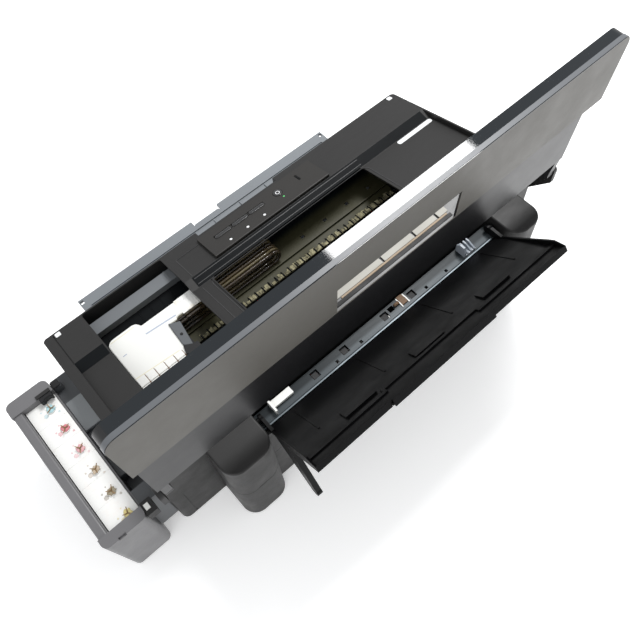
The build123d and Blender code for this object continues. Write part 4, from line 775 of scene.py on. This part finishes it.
def on_cover(x, u, v):
    """Point of the cover's own frame: across, up from the hinge, out from its inner face."""
    return (x, HINGE_Y + u * sin(LEAN) + v * cos(LEAN), HINGE_Z + u * cos(LEAN) - v * sin(LEAN))


def cover_block(kit, x0, x1, u0, u1, v0, v1, mat=0, bevel=0.2):
    verts = [on_cover(x, u, v) for u in (u0, u1) for x, v in ((x0, v0), (x1, v0), (x1, v1), (x0, v1))]
    faces = [[0, 1, 2, 3], [4, 5, 6, 7], [0, 1, 5, 4], [1, 2, 6, 5], [2, 3, 7, 6], [3, 0, 4, 7]]
    kit.shape(verts, faces, mat, bevel)


kit = Kit()
for a, b in ((11.2, 77.5), (-31.2, 8.6), (-62.7, -33.9), (-77.5, -65.3)):
    cover_block(kit, a, b, 137.55, 138.3, 3.2, 10.4, 0, 0.2)
# painted reflection: the tan strip along the ledge's rear edge
cover_block(kit, -74, 66, 137.55, 138.5, 10.8, 12.8, 1, 0.2)
cover_block(kit, -77.5, 77.5, 137.55, 138.2, 12.9, 17.0, 2, 0.2)
kit.done("ledge_pads", "cover", "white_plastic", ["ledge_cream", "ledge_tan", "support_black"])

# Two sprung leaves and a small roller beside the separator pad
kit = Kit()
kit.tube([(-44.5, 277.4, 167.2), (-37.5, 277.4, 167.2)], 2.1, 14, 0)
leaf = [(271.6, 166.1), (285.5, 166.1), (285.5, 166.6), (279, 167.6), (271.6, 166.6)]
for a, b in ((-56.8, -55.2), (-46.0, -44.6)):
    kit.side(leaf, a, b, 1, 0.1)
kit.done("pad_spring", "case", "white_plastic", ["rubber_brown", "white_plastic"])


# Studio
def area(name, loc, target, size, power):
    d = bpy.data.lights.new(name, "AREA")
    d.shape = "RECTANGLE"
    d.size, d.size_y = size
    d.energy = power
    o = bpy.data.objects.new(name, d)
    o.location = loc
    o.rotation_euler = (Vector(target) - Vector(loc)).to_track_quat("-Z", "Y").to_euler()
    bpy.context.scene.collection.objects.link(o)


floor_mesh = bpy.data.meshes.new("floor")
HALF, FLOOR_Z = 6, -0.0005
floor_mesh.from_pydata([(x * HALF, y * HALF, FLOOR_Z) for x, y in ((-1, -1), (1, -1), (1, 1), (-1, 1))],
                       [], [(0, 1, 2, 3)])
floor = bpy.data.objects.new("floor", floor_mesh)
bpy.context.scene.collection.objects.link(floor)
fm, fnt, fb = new_material("floor_white")
soft = noise(fnt, 0.8, 2.0)
white = mix_color(fnt, soft.outputs[0], (0.93, 0.93, 0.93), (0.97, 0.97, 0.97))
fnt.links.new(white, fb.inputs["Base Color"])
fb.inputs["Roughness"].default_value = 0.9
fb.inputs["Emission Color"].default_value = (1, 1, 1, 1)
fb.inputs["Emission Strength"].default_value = 0.30
floor.data.materials.append(fm)

world = bpy.data.worlds.new("studio")
world.use_nodes = True
world.node_tree.nodes["Background"].inputs[0].default_value = (0.98, 0.99, 1, 1)
world.node_tree.nodes["Background"].inputs[1].default_value = 0.78
bpy.context.scene.world = world
area("softbox", (-0.89, -0.46, 1.9), (-0.89, -0.46, 0.0), (0.68, 0.62), 36)
area("fill", (1.6, 1.2, 1.4), (0, 0, 0.15), (1.4, 1.4), 10)

# Camera
cam_data = bpy.data.cameras.new("camera")
SENSOR, FOCAL_PX, WIDTH_PX = 36.0, 679.58, 640
cam_data.sensor_width = SENSOR
cam_data.lens = FOCAL_PX / WIDTH_PX * SENSOR
cam_data.clip_start = 0.01
cam = bpy.data.objects.new("camera", cam_data)
right = Vector((-0.7472, 0.6631, -0.0443)).normalized()
view_dir = Vector((-0.2793, -0.3738, -0.8845)).normalized()
down = view_dir.cross(right).normalized()
right = down.cross(view_dir).normalized()
rot = Matrix((right, -down, -view_dir)).transposed().to_4x4()
cam.matrix_world = Matrix.Translation(at(269.15, 536.07, 889.55)) @ rot
bpy.context.scene.collection.objects.link(cam)
bpy.context.scene.camera = cam
bpy.context.scene.view_settings.view_transform = "Standard"
